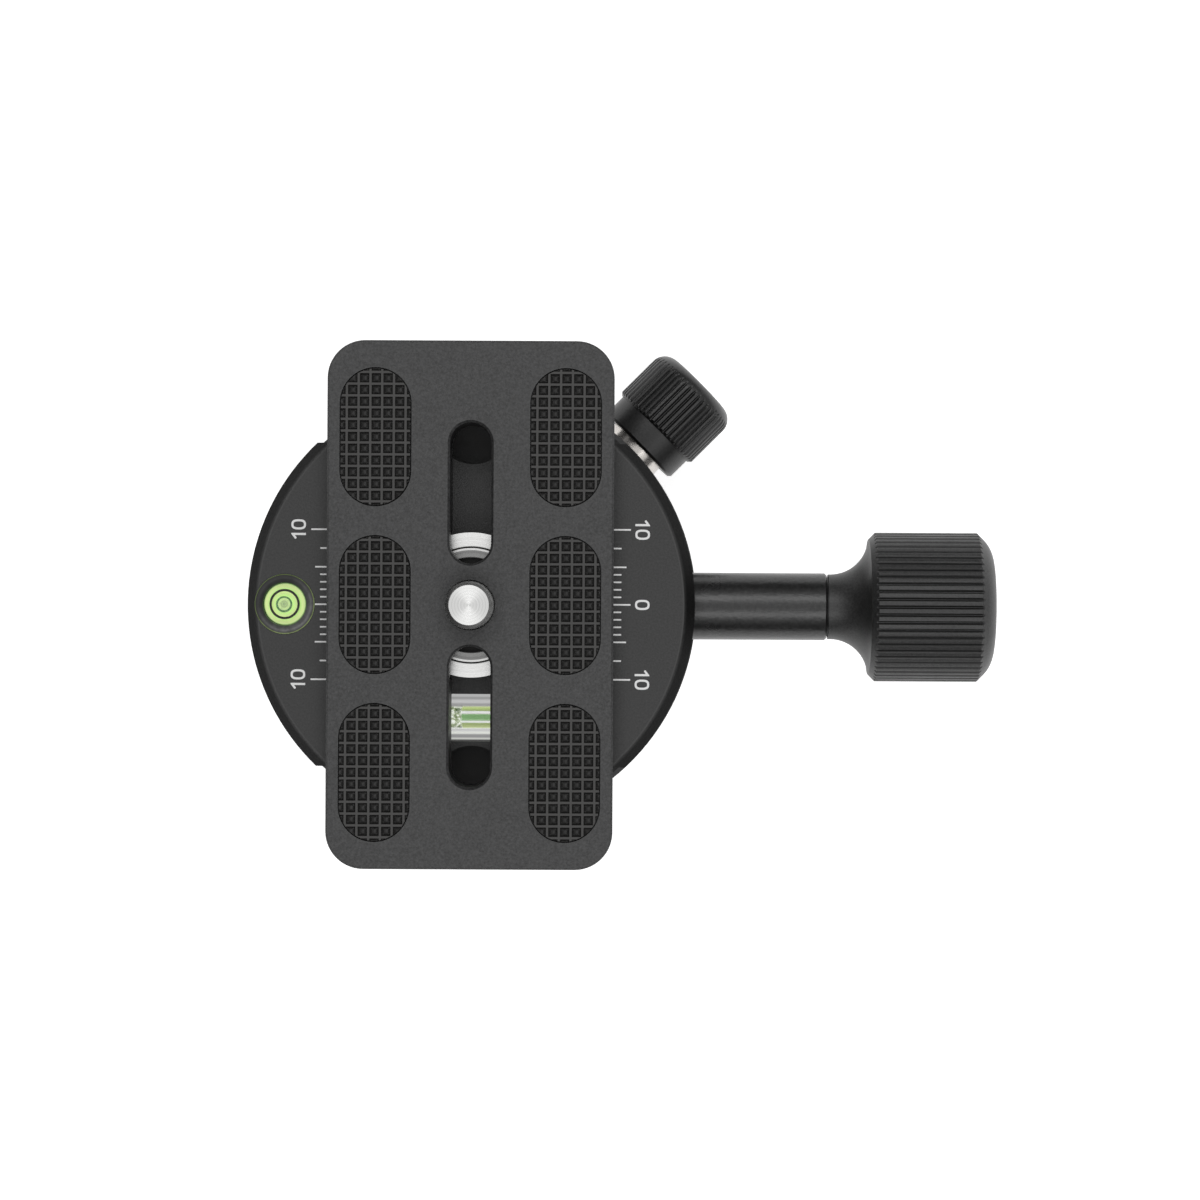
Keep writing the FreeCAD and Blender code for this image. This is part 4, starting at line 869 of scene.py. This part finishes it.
def waffle_lines(first, last, shift):
    """Grid lines across the pits: ridge sides, two steps down the slopes and each pit's middle."""
    cells = np.arange(math.floor((first - shift) / PITCH), math.ceil((last - shift) / PITCH) + 1)
    half = (PITCH - RIDGE) / 2
    steps = np.array([-half - RIDGE / 2, -half, -half * FOOT, -half * FOOT / 2, 0.0,
                      half * FOOT / 2, half * FOOT, half])
    return ((cells + 0.5) * PITCH + shift)[:, None] + steps[None, :]


def waffle_depth(x, y, shift_x, shift_y):
    """Depth of a pit: a steep wall at the ridge, then a low four-sided point up to its middle."""
    half = (PITCH - RIDGE) / 2
    away_x = np.abs(np.mod(x - shift_x, PITCH) - PITCH / 2)
    away_y = np.abs(np.mod(y - shift_y, PITCH) - PITCH / 2)
    away = np.maximum(away_x, away_y)
    wall = np.clip((half - away) / (half * (1 - FOOT)), 0, 1)
    point = np.clip(1 - away / (half * FOOT), 0, 1)
    return PIT_DEPTH * wall - POINT * point


# %% A slab of pits
SHIFT_X, SHIFT_Y = -0.69, 0.78
xs = waffle_lines(-6.5, 6.5, SHIFT_X).reshape(-1)
ys = waffle_lines(-11.0, 11.0, SHIFT_Y).reshape(-1)
grid_x, grid_y = np.meshgrid(xs, ys, indexing="ij")
top = PAD_TOP - waffle_depth(grid_x, grid_y, SHIFT_X, SHIFT_Y)
wide, deep = grid_x.shape
cell = np.arange(wide * deep).reshape(wide, deep)
upper = np.stack([cell[:-1, :-1], cell[1:, :-1], cell[1:, 1:], cell[:-1, 1:]], -1).reshape(-1, 4)
ring = np.concatenate([cell[:-1, 0], cell[-1, :-1], cell[:0:-1, -1], cell[0, :0:-1]])
points = np.stack([grid_x.ravel(), grid_y.ravel(), top.ravel()], -1)
foot = points[ring] * (1, 1, 0) + (0, 0, PAD_FLOOR - 1)
under = len(points) + np.arange(len(ring))
walls = np.stack([ring, under, np.roll(under, -1), np.roll(ring, -1)], -1)
points = np.concatenate([points, foot])
slab = bpy.data.meshes.new("waffle_slab")
slab.from_pydata(points.tolist(), [], upper.tolist() + walls.tolist() + [under[::-1].tolist()])
slab.validate()

print("a slab of", wide, "by", deep, "points")

# %% One pad
ARC = 49
angle = np.concatenate([np.linspace(0, np.pi, ARC), np.linspace(np.pi, 2 * np.pi, ARC)])
side = np.where(np.arange(2 * ARC) < ARC, 1, -1) * (PAD_LENGTH - PAD_WIDTH)
outline = np.stack([PAD_WIDTH * np.cos(angle), PAD_WIDTH * np.sin(angle) + side], -1)
levels = ((0, PAD_FLOOR), (1, PAD_FLOOR), (1, PAD_TOP - 0.12), (0.985, PAD_TOP + 0.2), (0, PAD_TOP + 0.2))
rows = [np.concatenate([outline * scale, np.full((2 * ARC, 1), z)], 1) for scale, z in levels]
prism = closed_mesh("pad_prism", np.concatenate(rows), quads(len(rows), 2 * ARC))
one_pad = common(slab, prism, "INTERSECT")
print("one pad has", len(one_pad.polygons), "faces")

# %% Six pads
single = points_of(one_pad)
places = np.array([(x, y, 0) for x in (-12.6, 12.6) for y in (-22.2, 0, 22.2)])
points = (single[None] + places[:, None]).reshape(-1, 3)
polygons = [list(face.vertices) for face in one_pad.polygons]
faces = [[index + copy * len(single) for index in face] for copy in range(len(places)) for face in polygons]
pads = bpy.data.meshes.new("waffle_pads")
pads.from_pydata((points * MM).tolist(), [], faces)
show("waffle_pads", pads, "rubber_pad", "plate", ["grip_pads"], 20.0)

# %% [markdown]
# ## The scales
#
# The scale is printed or laser marked on both jaws, to read how far the plate stands from its
# middle. The marks could be a texture, but then each jaw would need its own map. As thin slabs, half
# sunk into the metal, they stay sharp at any size and ride on their own jaw.

# %% Ink
JAW_TOP, INK = 35.0, 0.02


def ink(name, shapes, body):
    """Thin prisms, half sunk into the jaw's top, on shapes of one outline or two round a hole."""
    points, faces, count = [], [], 0
    for loops in shapes:
        size = len(loops[0])
        points += [np.concatenate([loop, np.full((size, 1), height)], 1)
                   for loop in loops for height in (JAW_TOP - INK, JAW_TOP + INK)]
        rows = [count + row * size + np.arange(size) for row in range(2 * len(loops))]
        if len(loops) == 1:
            order = rows
            faces += [rows[0][::-1].tolist(), rows[1].tolist()]
        else:
            order = [rows[0], rows[1], rows[3], rows[2], rows[0]]
        for low, high in zip(order[:-1], order[1:]):
            faces += np.stack([low, np.roll(low, -1), np.roll(high, -1), high], -1).tolist()
        count += len(rows) * size
    mesh = bpy.data.meshes.new(name)
    mesh.from_pydata((np.concatenate(points) * MM).tolist(), [], faces)
    show(name, mesh, "white_print", body)


# %% Ticks
TICK_START, TICK_WIDTH = 16.6, 0.21
SCALE_SHIFT = {-1: 0.0, 1: 0.13}


def bar(x0, x1, y):
    """A rectangle from x0 to x1 about a height y, counter-clockwise."""
    left, right, half = min(x0, x1), max(x0, x1), TICK_WIDTH / 2
    return [(left, y - half), (right, y - half), (right, y + half), (left, y + half)]


def tick_ends(long, middle, short):
    """Outer ends of the marks by their distance from the middle of the scale."""
    ends = {0: middle, 5: middle, 10: long}
    return {step: ends.get(step, short) for step in (0, 1, 2, 3, 4, 5, 7.5, 10)}


left_ends = tick_ends(21.33, 20.80, 20.13)
right_ends = tick_ends(21.27, 20.70, 20.04)
right_ends[0] = right_ends[10]
for name, side, ends, body in (("left_scale_ticks", -1, left_ends, "turntable"),
                               ("right_scale_ticks", 1, right_ends, "jaw")):
    ink(name, [[bar(side * TICK_START, side * end, y * sign + SCALE_SHIFT[side])]
               for y, end in ends.items() for sign in ((1, -1) if y else (1,))], body)

# %% Numerals
DIGIT_HEIGHT, STROKE = 1.95, 0.28
TEN_LENGTH, ZERO_LENGTH = 2.63, 1.36
TEXT_FOOT = {-1: 22.05, 1: 21.87}
ONE = np.array([(0.53, 0), (0.82, 0), (0.82, 1.95), (0.68, 1.95), (0.04, 1.46), (0.03, 1.36), (0.13, 1.24),
                (0.23, 1.26), (0.53, 1.48)])


def superellipse(width, height, count=48, power=2.7):
    """Points where |u / a| to the power plus |v / b| to the power is one."""
    c, s = np.cos(around(count)), np.sin(around(count))
    return np.stack([np.sign(c) * np.abs(c) ** (2 / power) * width / 2,
                     np.sign(s) * np.abs(s) ** (2 / power) * height / 2], -1)


def zero(left):
    """A zero as two outlines: an outer oval, and an inner one that is a stroke's width smaller."""
    middle = np.array([left + ZERO_LENGTH / 2, DIGIT_HEIGHT / 2])
    return [superellipse(ZERO_LENGTH - 2 * thick, DIGIT_HEIGHT - 2 * thick) + middle for thick in (0, STROKE)]


def printed(points, side, y, length):
    """Turns upright text to read along the jaw: its up is away from the middle."""
    u, v = points.T
    return np.stack([side * (TEXT_FOOT[side] + v), y + SCALE_SHIFT[side] - side * (u - length / 2)], -1)


TEN = [[ONE], zero(TEN_LENGTH - ZERO_LENGTH)]
for name, side, body, numbers in (
        ("left_numerals", -1, "turntable", ((10, TEN, TEN_LENGTH), (-10, TEN, TEN_LENGTH))),
        ("right_numerals", 1, "jaw",
         ((10, TEN, TEN_LENGTH), (0, [zero(0.0)], ZERO_LENGTH), (-10, TEN, TEN_LENGTH)))):
    ink(name, [[printed(loop, side, y, length) for loop in glyph]
               for y, glyphs, length in numbers for glyph in glyphs], body)

# %% [markdown]
# ## The round level's mark and bubble
#
# Under the lid of the round level a black circle shows where the bubble belongs. The bubble itself is
# a flat dome of air against the lid, with a painted dark rim where light bends away and painted
# highlights inside it. Both are thin turned shapes just above the fluid, and a third thin ring on
# the clear edge carries painted highlights and shade.

# %% Ring, edge and bubble
BULLSEYE_SIDES = 96
x, y = BULLSEYE[:2]
for name, profile, centre, kind, slot in (
        ("round_level_mark", [(1.71, 34.99), (2.02, 34.99), (2.02, 35.02), (1.71, 35.02), (1.71, 34.99)],
         (x, y), "black_print", "nylon_black"),
        # A thin ring over the clear edge, with painted highlights and shade.
        ("round_level_edge",
         [(2.82, 34.97), (4.04, 34.9), (4.04, 34.99), (3.9, 35.01), (2.82, 35.01), (2.82, 34.97)],
         (x, y), "level_rim", "clear_acrylic"),
        ("round_level_bubble", [(0, 34.182), (1.1, 34.182), (0.95, 34.192), (0.5, 34.196), (0, 34.197)],
         (x - 0.12, y - 0.05), "bubble", "level_fluid")):
    solid(name, *turned(profile, BULLSEYE_SIDES, centre=centre), kind, "turntable", slot)

# %% [markdown]
# ## The camera screw and its thread
#
# The screw is turned in one piece: a foot with a coin slot, a flange with a raised ring and a
# quarter-inch thread. The thread is one surface: at each angle its groove sits a little higher, one
# pitch for a full turn, so the radius is the smaller of the turned profile and a saw-tooth of height
# less angle. A modifier could wind the thread as well, but its run-out at the tip would be harder.

# %% Threads
THREAD_SIDES = 144


def tooth(height, angle, pitch):
    """0 on a thread's crest and 1 in the root of its V, which climbs one pitch in a full turn."""
    phase = np.mod(height / pitch - angle / (2 * np.pi), 1.0)
    return np.clip(1.25 - 2.9 * np.abs(phase - 0.5), 0, 1)


# %% Camera screw
PITCH_QUARTER, SCREW_RADIUS, SCREW_DEPTH = 25.4 / 20, 3.175, 0.72
SEAT, TIP = 39.8, 44.8


def screw_thread(height, radius, angle):
    """Above the seat, r = min(profile, screw radius - depth * tooth), faded out at both ends."""
    fade = np.clip((height - SEAT) / 0.5, 0, 1) * np.clip((TIP - height) / 0.05, 0, 1)
    cut = SCREW_RADIUS - SCREW_DEPTH * tooth(height, angle, PITCH_QUARTER) * fade
    return np.where(height > SEAT + 0.01, np.minimum(radius, cut), radius)


corners = [(0, 29.0), (7.0, 29.0), (7.0, 31.9), (9.5, 31.9), (9.7, 32.1), (9.7, 33.9), (7.8, 33.9),
           (7.8, 34.1), (7.6, 34.3), (6.4, 34.3), (6.4, 33.4), (2.5, 33.4), (2.5, SEAT),
           (SCREW_RADIUS, SEAT), (SCREW_RADIUS, 44.25), (2.625, TIP), (0, TIP)]
pieces = [straight(first, last, 0.05 if first[0] < 3.2 and first[1] >= SEAT and last[0] > 2 else 0.6)
          for first, last in zip(corners[:-1], corners[1:])]
profile = np.concatenate(pieces + [[corners[-1]]])
blank = closed_mesh("screw_blank", *turned(profile, THREAD_SIDES, screw_thread))
cutter = bpy.data.meshes.new("coin_cutter")
cutter.from_pydata([(x, y, z) for x in (-9, 9) for y in (-0.9, 0.9) for z in (27.0, 30.6)], [],
                   [(0, 1, 3, 2), (4, 6, 7, 5), (0, 4, 5, 1), (2, 3, 7, 6), (0, 2, 6, 4), (1, 5, 7, 3)])
screw = common(blank, cutter, "DIFFERENCE")
screw.vertices.foreach_set("co", (points_of(screw) * MM).ravel())
show("threaded_camera_screw", screw, "turned_steel", "camera_screw", ["camera_screw"], 30.0)

# %% [markdown]
# ## The tripod thread and the springs
#
# The head stands on a three-eighths thread in its base, and two small springs push the jaw open.
# Both hide in most views, yet from below or with the jaw open they are what a real head shows. The
# springs are a circle carried along a helix.

# %% Tripod thread
PITCH_TRIPOD, BORE, BORE_DEPTH, INSERT_HEIGHT = 25.4 / 16, 4.0, 0.7, 10.0


def bore_thread(height, radius, angle):
    """In the bore, r = bore radius + depth * tooth."""
    in_bore = (radius < BORE + 0.01) & (height > 0.01) & (height < INSERT_HEIGHT - 0.01)
    return np.where(in_bore, BORE + BORE_DEPTH * tooth(height, angle, PITCH_TRIPOD), radius)


profile = np.concatenate([
    straight((BORE, INSERT_HEIGHT), (BORE, 0.0), 0.1),
    [(BORE, 0.0), (7.3, 0.0), (7.3, 1.0), (6.0, 1.0), (6.0, INSERT_HEIGHT), (BORE, INSERT_HEIGHT)]])
solid("tripod_thread", *turned(profile, THREAD_SIDES, bore_thread), "plain_steel", "base", "polished_steel",
      ["tripod_thread_insert"])

# %% Springs
SPRING_START, SPRING_END, SPRING_PLACE = 11.3, 16.15, 7.5
SPRING_RADIUS, WIRE, TURNS = 1.95, 0.24, 6


def coil(y, rows_per_turn=36, sides=12):
    """A wire carried along a helix: centre plus wire times cosine outwards and sine along the axis."""
    step = np.linspace(0, 1, TURNS * rows_per_turn + 1)
    turn = 2 * np.pi * TURNS * step
    out = np.stack([np.zeros_like(turn), np.cos(turn), np.sin(turn)], -1)
    along = SPRING_START + (SPRING_END - SPRING_START) * step
    centre = np.stack([along, np.full_like(turn, y), np.full_like(turn, DRIVE_HEIGHT)], -1)
    centre += SPRING_RADIUS * out
    angles = around(sides)
    around_wire = (out[:, None] * np.cos(angles)[None, :, None]
                   + np.array([1.0, 0, 0]) * np.sin(angles)[None, :, None]) * WIRE
    tube = centre[:, None] + around_wire
    first, last = (np.repeat(centre[place][None], sides, 0)[None] for place in (0, -1))
    tube = np.concatenate([first, tube, last])
    return tube.reshape(-1, 3), quads(len(tube), sides)


for label, side in (("front", -1), ("back", 1)):
    solid("jaw_spring_" + label, *coil(side * SPRING_PLACE), "plain_steel", "turntable", "polished_steel",
          ["jaw_springs"] if side < 0 else ())
